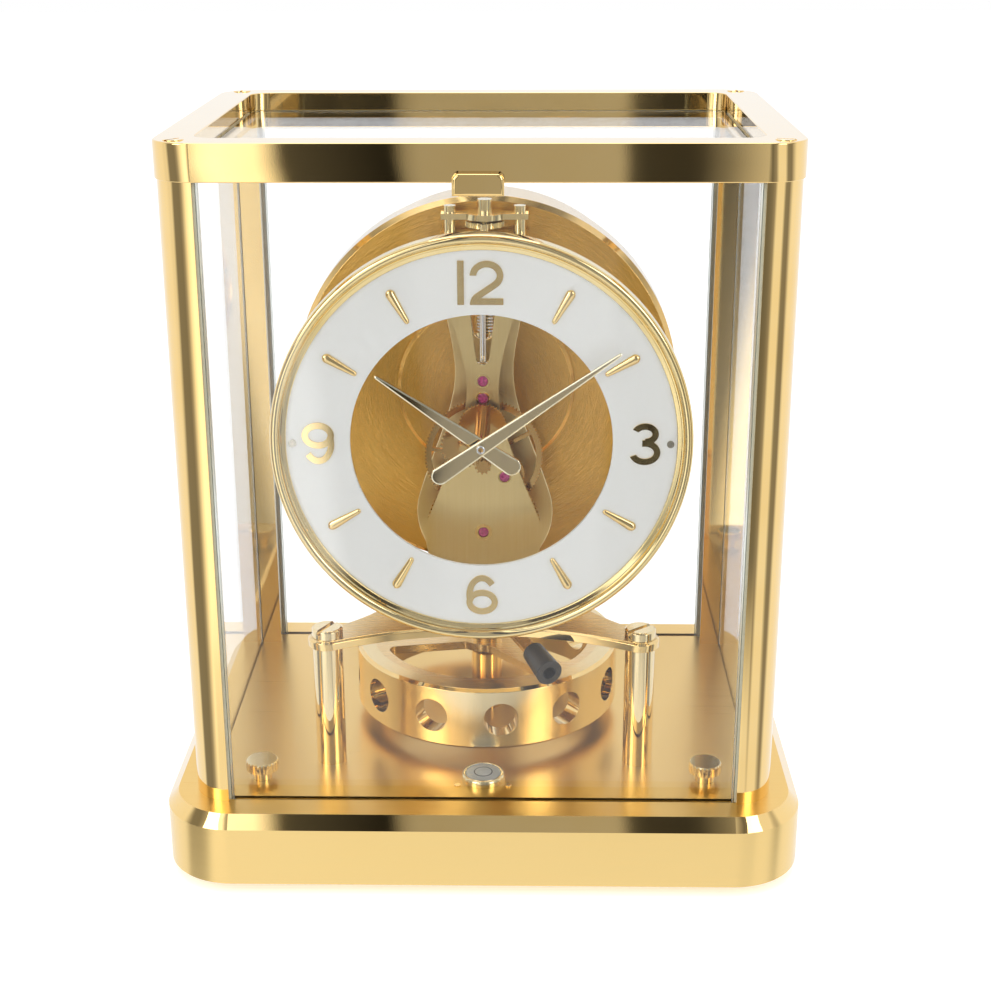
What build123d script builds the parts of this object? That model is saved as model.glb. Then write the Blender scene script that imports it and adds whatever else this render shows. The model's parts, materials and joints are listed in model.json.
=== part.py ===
from build123d import *
import os
from math import asin, atan2, cos, degrees, hypot, pi, radians, sin, sqrt

# Atmospheric clock: a gilded glass case on a plinth. A round dial stands in front of a wheel movement and
# of the drum of an air-sealed bellows, and a slow torsion balance hangs under the support plate on a wire.
# Millimetres. Z is up and starts at the floor, X is to the right, and -Y faces the person who reads the dial.
# A "forward" place is a distance from the middle of the case towards that person, so it runs along -Y.

os.makedirs("parts", exist_ok=True)

# Shared fits and cuts
overrun = 1.0
running_gap = 0.05
seat_gap = 0.3
edge_break = 0.4

# Base
foot_height = 4.0
base_width = 198.0
base_depth = 153.4
base_height = 22.55
base_corner = 22.0
chamfer_across = 3.3
chamfer_down = 3.85
base_wall = 5.0
deck_thickness = 7.0
cover_thickness = 2.0
cover_gap = 0.2

# Feet and levelling screws
pad_radius = 8.0
pad_height = 3.0
pad_socket = 1.5
rear_foot_inset = 21.7
leveller_inset_side = 29.0
leveller_inset_front = 27.5
leveller_radius = 3.0
knob_radius = 5.1
knob_height = 3.2
knob_lift = 3.25
knob_notches = 24
notch_radius = 0.35

# Bubble level
level_inset = 27.3
level_radius = 6.85
level_height = 2.5
level_wall = 1.4
level_floor = 0.8
lens_thickness = 1.0
lens_dome = 0.6
level_screw_ring = 9.2
level_screw_radius = 1.0
level_screw_head = 0.5
level_screw_depth = 3.0

# Corner posts, top frame and panes
post_inset_side = 9.2
post_inset_front = 10.8
post_radius = 11.5
post_height = 190.65
frame_height = 10.7
frame_overhang = 0.6
frame_rim = 10.9
frame_edge = 0.5
lip_thickness = 2.0
lip_width = 2.0
frame_inner_corner = 6.0
pane_thickness = 3.0
pane_setback = 1.5
pane_edge = 0.5
groove_depth = 1.0
groove_gap = 0.2
pane_lift = 5.0
gasket_thickness = 0.6
gasket_gap = 0.15
frame_screw_inset_side = 6.8
frame_screw_inset_front = 6.5
frame_screw_head = 2.8
frame_screw_cone = 1.6
frame_screw_shank = 1.5
frame_screw_length = 18.0
frame_screw_proud = 0.3
screw_slot_width = 0.8
screw_slot_depth = 0.7
catch_width = 14.3
catch_height = 6.2
catch_overlap = 3.2
catch_thickness = 3.0
catch_corner = 2.0
catch_round = 1.0

# Support plate, pillars and their screws
pillar_side = 49.4
pillar_forward = 36.4
pillar_radius = 4.75
rear_pillar_back = 54.9
plate_bottom = 67.2
plate_thickness = 3.0
lug_radius = 6.05
plate_front_lean = 68.0
plate_waist_forward = 30.0
plate_waist_share = 0.62
plate_back_side = 30.0
plate_back_forward = 8.0
plate_bore = 3.2
plate_bevel = 0.7
pillar_screw_head = 4.9
pillar_screw_height = 3.0
pillar_screw_shank = 2.5
pillar_screw_depth = 9.0
pillar_slot_width = 1.4
pillar_slot_depth = 1.4

# Torsion balance
axis_back = 5.0
ring_radius = 44.2
ring_bottom = 31.3
ring_height = 21.2
ring_wall = 5.9
ring_bevel = 1.0
ring_hole_radius = 5.6
ring_hole_count = 12
ring_hole_turn = 7.2
web_thickness = 2.8
web_drop = 0.3
web_rim = 3.4
web_hub_reach = 9.0
web_arm_half = 5.0
web_arm_count = 3
web_arm_turn = -50.0
web_corner = 2.5
hub_radius = 5.0
hub_below = 1.5
hub_top = 62.0
staff_radius = 1.0
staff_top = 70.0
stop_post_radius = 5.3
stop_gap = 0.5
wire_radius = 0.2

# Lock lever under the plate
bush_radius = 7.5
bush_bore = 5.8
bush_bottom = 61.2
bush_flange_radius = 9.3
bush_flange = 1.0
collar_radius = 10.4
collar_height = 3.0
lever_turn = 23.4
lever_reach = 43.0
lever_width = 4.6
lever_thickness = 1.4
lever_dip = 8.5
tip_start_reach = 40.0
tip_end_reach = 52.3
tip_start_radius = 3.6
tip_end_radius = 4.2
tip_hole_radius = 2.1
tip_hole_depth = 7.0
tip_axis_height = 62.3

# Movement axes, seen from the front
hands_height = 138.2
centre_drop = 13.4
third_side = 6.6
third_drop = 3.8
barrel_drop = 22.1
escape_rise = 8.0
pallet_rise = 5.4
motion_distance = 9.0

# Movement plates
front_plate_forward = 30.0
front_plate_thickness = 2.2
back_plate_forward = 12.0
back_plate_thickness = 2.5
front_bulb_height = 101.2
front_bulb_radius = 18.1
front_neck_height = 150.0
front_neck_half = 4.9
front_shoulder_rise = 22.8
front_shoulder_half = 10.6
front_arm_height = 171.0
front_arm_half = 9.3
front_top_height = 182.0
front_top_half = 12.6
front_slot_bottom = 156.7
front_slot_radius = 2.0
front_slot_top_half = 5.0
front_tail_half = 4.5
front_tail_bottom = 77.5
back_bulb_height = 103.0
back_bulb_radius = 21.8
back_neck_height = 149.0
back_neck_half = 9.2
back_shoulder_rise = 23.0
back_shoulder_half = 15.0
back_arm_height = 166.0
back_arm_half = 11.4
back_top_half = 14.0
back_slot_bottom = 160.0
back_slot_radius = 3.6
back_slot_top_half = 6.5
back_foot_half = 13.0
plate_pillar_radius = 1.6
plate_pillar_side = 8.9
plate_pillar_height = 177.8
tail_pillar_height = 81.0

# Jewels
cup_radius = 2.1
barrel_cup_radius = 2.6
ruby_radius = 1.62
ruby_depth = 1.0
cup_rise = 0.2
ruby_dome = 0.35
pivot_depth = 1.0

# Tooth form, as shares of one tooth's module or pitch
addendum_share = 0.55
dedendum_share = 0.75
tooth_root_share = 0.58
tooth_tip_share = 0.26
wheel_thickness = 1.0

# Wheel teeth
cannon_teeth = 10
minute_wheel_teeth = 30
minute_pinion_teeth = 10
hour_teeth = 40
centre_teeth = 96
escape_pinion_teeth = 16
centre_pinion_teeth = 10
third_teeth = 40
third_pinion_teeth = 9
barrel_teeth = 83
escape_teeth = 15
ratchet_teeth = 36
regulator_teeth = 40

# Places of the wheels, front to back
motion_lower_forward = 31.0
motion_upper_forward = 33.0
third_forward = 26.2
third_pinion_forward = 24.6
centre_forward = 20.5
barrel_drum_back = 13.0
barrel_drum_front = 19.8
escape_forward = 16.0
ratchet_forward = 8.1

# Wheel bodies
arbor_radius = 1.0
slim_arbor_radius = 0.6
centre_rim = 1.6
centre_hub = 3.2
spoke_count = 5
spoke_width = 1.1
spoke_turn = 28.0
barrel_drum_radius = 15.0
barrel_hub_radius = 3.0
barrel_arbor_radius = 1.5
escape_radius = 4.0
escape_rim = 0.9
ratchet_radius = 6.0
stud_head_radius = 1.2
stud_head = 0.5
third_hub_radius = 1.3
pipe_radius = 1.65
hour_pipe_wall = 0.6

# Pallet fork
anchor_half = 3.4
anchor_stone = 0.4
anchor_drop = 2.4
anchor_bar = 1.0
fork_width = 1.2
fork_top = 177.0
fork_bridge = 2.0
rod_radius = 0.9
rod_forward = 26.6
rod_bottom = 156.5

# Dial and hands
dial_forward = 50.0
dial_thickness = 1.2
dial_radius = 61.2
dial_hole = 38.8
bezel_inner = 57.7
bezel_outer = 62.4
bezel_back = 46.6
bezel_rise = 2.4
bezel_step = 0.8
numeral_ring = 48.2
numeral_thickness = 0.5
twelve_width = 13.2
figure_height = 12.8
figure_half_width = 4.8
figure_stroke = 1.9
two_bowl_height = 4.3
two_bowl_end = -52.0
two_neck_radius = 2.8
three_upper_half = 4.0
three_upper_height = 3.3
three_upper_end = 155.0
three_lower_half = 4.6
three_lower_height = 3.8
three_lower_end = 160.0
three_bar_reach = 0.8
six_bowl_height = 4.0
six_hook_start = 205.0
six_hook_end = 38.0
baton_inner = 42.1
baton_outer = 52.9
baton_wide = 1.25
baton_narrow = 0.65
baton_thickness = 0.8
dial_screw_ring = 55.75
dial_screw_head = 1.1
dial_screw_proud = 0.6
dial_post_radius = 1.6
hour_hand_forward = 52.4
hour_hand_tip = 37.3
hour_hand_tail = 13.6
hour_hand_half = 2.7
minute_hand_forward = 54.6
minute_hand_tip = 49.6
minute_hand_tail = 17.3
minute_hand_half = 2.6
hand_thickness = 1.0
hand_point = 0.45
hand_bevel = 0.25
hour_hand_angle = 304.6
minute_hand_angle = 54.9
nut_radius = 1.35
nut_bore = 0.7
nut_height = 1.2

# Bellows drum
drum_front_back = 12.0
drum_radius = 62.6
drum_wall = 2.0
drum_length = 14.0
drum_bevel = 1.6
raised_disc_radius = 29.0
raised_disc_height = 2.6
raised_disc_edge = 1.2
cover_radius = 59.0
cover_back = 56.0
cover_flange = 2.0
cover_round = 1.8
drum_leg_side = 16.0
drum_leg_width = 8.0
bellows_radius = 50.0
bellows_valley = 44.0
bellows_front = 30.0
bellows_folds = 6
bellows_wall = 0.8
cap_radius = 47.0
cap_thickness = 2.0
cap_travel = 3.0
bellows_spring_radius = 20.0
bellows_spring_wire = 0.8
bellows_spring_turns = 3

# Top suspension and regulator
base_bar_thickness = 2.0
base_bar_top = 190.5
base_bar_half = 14.0
base_bar_back = 10.0
regulator_post_side = 11.0
regulator_post_radius = 1.9
regulator_post_head = 2.2
regulator_plate_bottom = 195.0
regulator_plate_thickness = 1.8
regulator_plate_half = 13.7
regulator_plate_width = 6.4
regulator_boss = 6.5
regulator_wheel_bottom = 192.4
regulator_wheel_thickness = 1.8
regulator_wheel_radius = 6.0
index_radius = 1.3
index_height = 4.0
stud_radius = 2.3
stud_height = 4.2
tube_radius = 1.5
tube_bore = 0.8
tube_bottom = 76.0
tube_bracket_height = 84.0
tube_bracket_half = 3.0
tube_bracket_thickness = 4.0
tube_spring_radius = 2.9
tube_spring_wire = 0.3
tube_spring_bottom = 158.5
tube_spring_turns = 24
tube_spring_pitch = 1.05
tube_collar_radius = 3.4
tube_collar_height = 1.5

# Places that follow from the sizes above
base_top = foot_height + base_height
leveller_side = base_width / 2 - leveller_inset_side
leveller_forward = base_depth / 2 - leveller_inset_front
rear_foot_back = base_depth / 2 - rear_foot_inset
level_forward = base_depth / 2 - level_inset
post_outer_side = base_width / 2 - post_inset_side
post_outer_front = base_depth / 2 - post_inset_front
post_inner_side = post_outer_side - post_radius
post_inner_front = post_outer_front - post_radius
frame_bottom = base_top + post_height
frame_top = frame_bottom + frame_height
frame_half_side = post_outer_side + frame_overhang
frame_half_front = post_outer_front + frame_overhang
frame_screw_side = frame_half_side - frame_screw_inset_side
frame_screw_front = frame_half_front - frame_screw_inset_front
pane_outer_front = post_outer_front - pane_setback
pane_outer_side = post_outer_side - pane_setback
pane_middle_front = pane_outer_front - pane_thickness / 2
pane_middle_side = pane_outer_side - pane_thickness / 2
plate_top = plate_bottom + plate_thickness
ring_top = ring_bottom + ring_height
web_top = ring_top - web_drop
web_bottom = web_top - web_thickness
hub_bottom = web_bottom - hub_below
front_plate_back = front_plate_forward - front_plate_thickness
back_plate_back = back_plate_forward - back_plate_thickness
bezel_front = dial_forward + bezel_rise
drum_back = drum_front_back + drum_length

centre_height = hands_height - centre_drop
third_height = centre_height - third_drop
barrel_height = centre_height - barrel_drop
escape_height = hands_height + escape_rise
pallet_height = escape_height + pallet_rise
hands_axis = (0, hands_height)
centre_axis = (0, centre_height)
third_axis = (third_side, third_height)
barrel_axis = (0, barrel_height)
escape_axis = (0, escape_height)
pallet_axis = (0, pallet_height)
half_drop = centre_drop / 2
minute_axis = (-sqrt(motion_distance**2 - half_drop**2), centre_height + half_drop)


def spacing(one, other):
    """Distance between two axes of the movement."""
    return hypot(other[0] - one[0], other[1] - one[1])


def heading(one, other):
    """Direction from one axis to the other, in degrees."""
    return degrees(atan2(other[1] - one[1], other[0] - one[0]))


def shared_radius(one, other, teeth, mate_teeth):
    """Pitch radius of the first of two wheels in mesh."""
    return spacing(one, other) * teeth / (teeth + mate_teeth)


def meshed_turn(teeth, turned, mate_teeth, towards):
    """Turn at which a mate's gap meets this wheel's tooth."""
    steps = (towards - turned) * teeth / 360
    return towards + 180 + (steps - 1 / 2) * 360 / mate_teeth


dial_section = Plane(origin=(0, 0, hands_height), x_dir=(0, 1, 0), z_dir=(1, 0, 0))
dial_axis = Axis((0, 0, hands_height), (0, 1, 0))


def forward(distance):
    """Upright plane that faces the front, so far from the middle of the case."""
    return Plane.XZ.offset(distance)


def rim_points(teeth, pitch_radius, turned, axis):
    """Corners of a toothed rim: every tooth is a small trapezoid."""
    module = 2 * pitch_radius / teeth
    root = pitch_radius - dedendum_share * module
    tip = pitch_radius + addendum_share * module
    pitch_angle = 360 / teeth
    corners = []
    for tooth in range(teeth):
        middle = turned + tooth * pitch_angle
        for radius, share in ((root, -tooth_root_share), (tip, -tooth_tip_share),
                              (tip, tooth_tip_share), (root, tooth_root_share)):
            angle = radians(middle + share * pitch_angle / 2)
            corners.append((axis[0] + radius * cos(angle), axis[1] + radius * sin(angle)))
    return corners


def toothed(plane, teeth, pitch_radius, turned, axis):
    """Filled outline of a toothed wheel."""
    with BuildSketch(plane) as outline:
        with BuildLine():
            Polyline(*rim_points(teeth, pitch_radius, turned, axis), close=True)
        make_face()
    return outline.sketch


def disc(plane, radius, axis=(0, 0)):
    """Round outline about an axis."""
    with BuildSketch(plane) as outline:
        with Locations(axis):
            Circle(radius)
    return outline.sketch


def biarc(start, leave, end, arrive):
    """Two arcs that join two points of a coil and keep its direction at both."""
    chord = end - start
    lean = leave + arrive
    closing = 2 * (1 - leave.dot(arrive))
    across = chord.dot(lean)
    reach = (-across + sqrt(across**2 + closing * chord.dot(chord))) / closing
    first_corner = start + leave * reach
    last_corner = end - arrive * reach
    joint = (first_corner + last_corner) * (1 / 2)
    direction = (last_corner - first_corner).normalized()
    first = Edge.make_tangent_arc(start, leave, joint)
    last = Edge.make_tangent_arc(joint, direction, end)
    return [first, last]


def coil(origin, axis, across, radius, pitch, turns):
    """Line of a coil about an axis, in biarcs of a quarter turn."""
    side = axis.cross(across)
    rise = pitch / (2 * pi * radius)
    points = []
    for quarter in range(4 * turns + 1):
        angle = pi / 2 * quarter
        out = across * cos(angle) + side * sin(angle)
        along = side * cos(angle) - across * sin(angle)
        place = origin + out * radius + axis * (pitch * quarter / 4)
        points.append((place, (along + axis * rise).normalized()))
    edges = []
    for (start, leave), (end, arrive) in zip(points, points[1:]):
        edges += biarc(start, leave, end, arrive)
    return edges


# Base plinth: a thick gilded casting, hollow from below, with a bevelled top edge
with BuildPart() as base_plinth:
    with BuildSketch(Plane.XY.offset(foot_height)):
        RectangleRounded(base_width, base_depth, base_corner)
    extrude(amount=base_height)
    chamfer(base_plinth.faces().sort_by(Axis.Z)[-1].edges(), chamfer_across, chamfer_down,
            reference=base_plinth.faces().sort_by(Axis.Z)[-1])
    with BuildSketch(Plane.XY.offset(foot_height)):
        RectangleRounded(base_width - 2 * base_wall, base_depth - 2 * base_wall, base_corner - base_wall)
    extrude(amount=base_height - deck_thickness, mode=Mode.SUBTRACT)
    groove_wide = pane_thickness + 2 * groove_gap
    with BuildSketch(Plane.XY.offset(base_top - groove_depth)):
        with Locations((0, -pane_middle_front), (0, pane_middle_front)):
            Rectangle(2 * post_inner_side, groove_wide)
        with Locations((-pane_middle_side, 0), (pane_middle_side, 0)):
            Rectangle(groove_wide, 2 * post_inner_front)
    extrude(amount=groove_depth + overrun, mode=Mode.SUBTRACT)
    with BuildSketch(Plane.XY.offset(base_top - deck_thickness - overrun)):
        with Locations((-leveller_side, -leveller_forward), (leveller_side, -leveller_forward)):
            Circle(leveller_radius + running_gap)
    extrude(amount=deck_thickness + 2 * overrun, mode=Mode.SUBTRACT)
    with BuildSketch(Plane.XY.offset(base_top - level_screw_depth)):
        for screw_angle in (90, 210, 330):
            with Locations((level_screw_ring * cos(radians(screw_angle)),
                            -level_forward + level_screw_ring * sin(radians(screw_angle)))):
                Circle(level_screw_radius / 2 + running_gap)
    extrude(amount=level_screw_depth + overrun, mode=Mode.SUBTRACT)
base_plinth.part.label = "base_plinth"
export_step(base_plinth.part, "parts/base_plinth.step")

# Base cover: a plate that closes the plinth from below
with BuildPart() as base_cover:
    with BuildSketch(Plane.XY.offset(foot_height)):
        RectangleRounded(base_width - 2 * (base_wall + cover_gap), base_depth - 2 * (base_wall + cover_gap),
                         base_corner - base_wall - cover_gap)
        with Locations((-leveller_side, -leveller_forward), (leveller_side, -leveller_forward)):
            Circle(leveller_radius + 2 * cover_gap, mode=Mode.SUBTRACT)
    extrude(amount=cover_thickness)
base_cover.part.label = "base_cover"
export_step(base_cover.part, "parts/base_cover.step")

# Rear foot: one fixed foot on the cover
with BuildPart() as rear_foot:
    with BuildSketch():
        with Locations((0, rear_foot_back)):
            Circle(pad_radius)
    extrude(amount=foot_height)
    fillet(rear_foot.edges().group_by(Axis.Z)[0], edge_break)
rear_foot.part.label = "rear_foot"
export_step(rear_foot.part, "parts/rear_foot.step")


def foot_pad(side):
    """Round pad with a socket for the end of a levelling screw."""
    with BuildPart() as pad:
        with BuildSketch():
            with Locations((side, -leveller_forward)):
                Circle(pad_radius)
        extrude(amount=pad_height)
        fillet(pad.edges().group_by(Axis.Z)[0], edge_break)
        with BuildSketch(Plane.XY.offset(pad_socket)):
            with Locations((side, -leveller_forward)):
                Circle(leveller_radius + running_gap)
        extrude(amount=pad_height - pad_socket + overrun, mode=Mode.SUBTRACT)
    return pad


def levelling_screw(side):
    """Threaded stem with a notched round knob above the base."""
    knob_bottom = base_top + knob_lift
    with BuildPart() as screw:
        with BuildSketch(Plane.XY.offset(pad_socket + running_gap)):
            with Locations((side, -leveller_forward)):
                Circle(leveller_radius)
        extrude(amount=knob_bottom - pad_socket - running_gap)
        with BuildSketch(Plane.XY.offset(knob_bottom)):
            with Locations((side, -leveller_forward)):
                Circle(knob_radius)
        extrude(amount=knob_height)
        chamfer(screw.edges().group_by(Axis.Z)[-1], edge_break)
        with BuildSketch(Plane.XY.offset(knob_bottom)):
            with Locations((side, -leveller_forward)):
                with PolarLocations(knob_radius, knob_notches):
                    Circle(notch_radius)
        extrude(amount=knob_height, mode=Mode.SUBTRACT)
    return screw


foot_pad_left = foot_pad(-leveller_side)
foot_pad_left.part.label = "foot_pad_left"
export_step(foot_pad_left.part, "parts/foot_pad_left.step")
foot_pad_right = foot_pad(leveller_side)
foot_pad_right.part.label = "foot_pad_right"
export_step(foot_pad_right.part, "parts/foot_pad_right.step")
levelling_screw_left = levelling_screw(-leveller_side)
levelling_screw_left.part.label = "levelling_screw_left"
export_step(levelling_screw_left.part, "parts/levelling_screw_left.step")
levelling_screw_right = levelling_screw(leveller_side)
levelling_screw_right.part.label = "levelling_screw_right"
export_step(levelling_screw_right.part, "parts/levelling_screw_right.step")

# Bubble level: a shallow cup with a domed lens
with BuildPart() as level_housing:
    with BuildSketch(Plane.XY.offset(base_top)):
        with Locations((0, -level_forward)):
            Circle(level_radius)
    extrude(amount=level_height)
    chamfer(level_housing.edges().group_by(Axis.Z)[-1], edge_break)
    with BuildSketch(Plane.XY.offset(base_top + level_floor)):
        with Locations((0, -level_forward)):
            Circle(level_radius - level_wall)
    extrude(amount=level_height, mode=Mode.SUBTRACT)
level_housing.part.label = "level_housing"
export_step(level_housing.part, "parts/level_housing.step")

lens_bottom = base_top + level_height - lens_thickness
lens_radius = level_radius - level_wall - running_gap
level_middle = (0, -level_forward, 0)
with BuildPart() as level_lens:
    with BuildSketch(Plane(origin=level_middle, x_dir=(1, 0, 0), z_dir=(0, -1, 0))):
        with BuildLine():
            rim_top = (lens_radius, lens_bottom + lens_thickness)
            crown = (0, lens_bottom + lens_thickness + lens_dome)
            dome_radius = (lens_radius**2 + lens_dome**2) / (2 * lens_dome)
            shoulder_drop = dome_radius - sqrt(dome_radius**2 - (lens_radius / 2) ** 2)
            shoulder = (lens_radius / 2, crown[1] - shoulder_drop)
            ThreePointArc(rim_top, shoulder, crown)
            Polyline(crown, (0, lens_bottom), (lens_radius, lens_bottom), rim_top)
        make_face()
    revolve(axis=Axis(level_middle, (0, 0, 1)))
level_lens.part.label = "level_lens"
export_step(level_lens.part, "parts/level_lens.step")

with BuildPart() as level_screws:
    for screw_angle in (90, 210, 330):
        screw_place = (level_screw_ring * cos(radians(screw_angle)),
                       -level_forward + level_screw_ring * sin(radians(screw_angle)))
        with BuildSketch(Plane.XY.offset(base_top)):
            with Locations(screw_place):
                Circle(level_screw_radius)
        extrude(amount=level_screw_head)
        with BuildSketch(Plane.XY.offset(base_top - level_screw_depth + seat_gap)):
            with Locations(screw_place):
                Circle(level_screw_radius / 2)
        extrude(amount=level_screw_depth - seat_gap)
level_screws.part.label = "level_screws"
export_step(level_screws.part, "parts/level_screws.step")

# Corner posts: four quarter-round columns with their flats turned inwards
with BuildPart() as corner_posts:
    for side, front in ((-1, -1), (1, -1), (-1, 1), (1, 1)):
        corner = (side * post_inner_side, front * post_inner_front)
        with BuildSketch(Plane.XY.offset(base_top)):
            with BuildLine():
                side_end = (corner[0] + side * post_radius, corner[1])
                front_end = (corner[0], corner[1] + front * post_radius)
                arc_middle = (corner[0] + side * post_radius / sqrt(2),
                              corner[1] + front * post_radius / sqrt(2))
                Line(corner, side_end)
                ThreePointArc(side_end, arc_middle, front_end)
                Line(front_end, corner)
            make_face()
        extrude(amount=post_height)
    with BuildSketch(Plane.XY.offset(frame_bottom - frame_screw_length)):
        for side, front in ((-1, -1), (1, -1), (-1, 1), (1, 1)):
            with Locations((side * frame_screw_side, front * frame_screw_front)):
                Circle(frame_screw_shank + running_gap)
    extrude(amount=frame_screw_length + overrun, mode=Mode.SUBTRACT)
corner_posts.part.label = "corner_posts"
export_step(corner_posts.part, "parts/corner_posts.step")

# Top frame: a deep band with an inner lip for the top pane and grooves for the four panes
with BuildPart() as top_frame:
    with BuildSketch(Plane.XY.offset(frame_bottom)):
        RectangleRounded(2 * frame_half_side, 2 * frame_half_front, post_radius + frame_overhang)
    extrude(amount=frame_height)
    fillet(top_frame.faces().sort_by(Axis.Z)[-1].edges(), frame_edge)
    with BuildSketch(Plane.XY.offset(frame_bottom + lip_thickness)):
        RectangleRounded(2 * (frame_half_side - frame_rim), 2 * (frame_half_front - frame_rim),
                         frame_inner_corner)
    extrude(amount=frame_height, mode=Mode.SUBTRACT)
    with BuildSketch(Plane.XY.offset(frame_bottom - overrun)):
        RectangleRounded(2 * (frame_half_side - frame_rim - lip_width),
                         2 * (frame_half_front - frame_rim - lip_width), frame_inner_corner - lip_width)
    extrude(amount=lip_thickness + 2 * overrun, mode=Mode.SUBTRACT)
    with BuildSketch(Plane.XY.offset(frame_bottom - overrun)):
        with Locations((0, pane_middle_front)):
            Rectangle(2 * post_inner_side, groove_wide)
        with Locations((-pane_middle_side, 0), (pane_middle_side, 0)):
            Rectangle(groove_wide, 2 * post_inner_front)
    extrude(amount=overrun + groove_depth, mode=Mode.SUBTRACT)
    with BuildSketch(Plane.XY.offset(frame_bottom - overrun)):
        with Locations((0, -pane_middle_front)):
            Rectangle(2 * post_inner_side, groove_wide)
    extrude(amount=overrun + groove_depth + pane_lift, mode=Mode.SUBTRACT)
    with BuildSketch(Plane.XY.offset(frame_bottom - overrun)):
        for side, front in ((-1, -1), (1, -1), (-1, 1), (1, 1)):
            with Locations((side * frame_screw_side, front * frame_screw_front)):
                Circle(frame_screw_shank + running_gap)
    extrude(amount=frame_height + 2 * overrun, mode=Mode.SUBTRACT)
    with BuildSketch(Plane.XY.offset(frame_top)):
        for side, front in ((-1, -1), (1, -1), (-1, 1), (1, 1)):
            with Locations((side * frame_screw_side, front * frame_screw_front)):
                Circle(frame_screw_head + running_gap)
    extrude(amount=-frame_screw_cone, mode=Mode.SUBTRACT)
top_frame.part.label = "top_frame"
export_step(top_frame.part, "parts/top_frame.step")

# Frame screws: slotted heads sunk into the frame, shanks down into the posts
with BuildPart() as frame_screws:
    for side, front in ((-1, -1), (1, -1), (-1, 1), (1, 1)):
        screw_place = (side * frame_screw_side, front * frame_screw_front)
        with BuildSketch(Plane.XY.offset(frame_top - frame_screw_cone)):
            with Locations(screw_place):
                Circle(frame_screw_head)
        extrude(amount=frame_screw_cone + frame_screw_proud)
        with BuildSketch(Plane.XY.offset(frame_bottom - frame_screw_length + seat_gap)):
            with Locations(screw_place):
                Circle(frame_screw_shank)
        extrude(amount=frame_screw_length - seat_gap + frame_height - frame_screw_cone)
    chamfer(frame_screws.edges().group_by(Axis.Z)[-1], edge_break / 2)
    for side, front in ((-1, -1), (1, -1), (-1, 1), (1, 1)):
        with BuildSketch(Plane.XY.offset(frame_top + frame_screw_proud)):
            with Locations(Location((side * frame_screw_side, front * frame_screw_front), 50)):
                Rectangle(2 * frame_screw_head + overrun, screw_slot_width)
        extrude(amount=-screw_slot_depth, mode=Mode.SUBTRACT)
frame_screws.part.label = "frame_screws"
export_step(frame_screws.part, "parts/frame_screws.step")

# Catch: a rounded block on the middle of the frame's front that laps over the edge of the front pane
with BuildPart() as pane_catch:
    with BuildSketch(forward(frame_half_front + seat_gap)):
        with Locations((0, frame_bottom - catch_overlap + catch_height / 2)):
            Rectangle(catch_width, catch_height)
    extrude(amount=catch_thickness)
    fillet(pane_catch.edges().filter_by(Axis.Y).group_by(Axis.Z)[-1], catch_corner)
    fillet(pane_catch.faces().sort_by(Axis.Y)[0].edges(), catch_round)
pane_catch.part.label = "pane_catch"
export_step(pane_catch.part, "parts/pane_catch.step")

# Top pane: lies on the lip inside the frame
with BuildPart() as top_glass:
    with BuildSketch(Plane.XY.offset(frame_bottom + lip_thickness)):
        RectangleRounded(2 * (frame_half_side - frame_rim - groove_gap),
                         2 * (frame_half_front - frame_rim - groove_gap), frame_inner_corner - groove_gap)
    extrude(amount=pane_thickness)
    chamfer(top_glass.faces().sort_by(Axis.Z)[-1].edges(), pane_edge)
top_glass.part.label = "top_glass"
export_step(top_glass.part, "parts/top_glass.step")

# Panes: plate glass with ground edges, standing in the grooves of the base
pane_bottom = base_top - groove_depth
fixed_pane_height = groove_depth + post_height + groove_depth - seat_gap
front_pane_width = 2 * (post_inner_side - gasket_thickness - gasket_gap)
side_pane_width = 2 * (post_inner_front - gasket_thickness - gasket_gap)


def pane(width, height, places):
    """Upright panes of one size; each place gives its middle and whether it stands along Y."""
    with BuildPart() as panes:
        for middle, along_y in places:
            with BuildSketch(Plane.XY.offset(pane_bottom)):
                with Locations(middle):
                    if along_y:
                        Rectangle(pane_thickness, width)
                    else:
                        Rectangle(width, pane_thickness)
            extrude(amount=height)
        chamfer(panes.edges().filter_by(Axis.Z), pane_edge)
    return panes


front_glass = pane(front_pane_width, fixed_pane_height, [((0, -pane_middle_front), False)])
front_glass.part.label = "front_glass"
export_step(front_glass.part, "parts/front_glass.step")
rear_glass = pane(front_pane_width, fixed_pane_height, [((0, pane_middle_front), False)])
rear_glass.part.label = "rear_glass"
export_step(rear_glass.part, "parts/rear_glass.step")
side_glasses = pane(side_pane_width, fixed_pane_height,
                    [((-pane_middle_side, 0), True), ((pane_middle_side, 0), True)])
side_glasses.part.label = "side_glasses"
export_step(side_glasses.part, "parts/side_glasses.step")

# Gaskets: dark strips between the posts and the edges of the panes
with BuildPart() as glass_gaskets:
    with BuildSketch(Plane.XY.offset(base_top)):
        for side, front in ((-1, -1), (1, -1), (-1, 1), (1, 1)):
            with Locations((side * (post_inner_side - gasket_thickness / 2), front * pane_middle_front)):
                Rectangle(gasket_thickness, pane_thickness)
            with Locations((side * pane_middle_side, front * (post_inner_front - gasket_thickness / 2))):
                Rectangle(pane_thickness, gasket_thickness)
    extrude(amount=post_height)
glass_gaskets.part.label = "glass_gaskets"
export_step(glass_gaskets.part, "parts/glass_gaskets.step")

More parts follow.
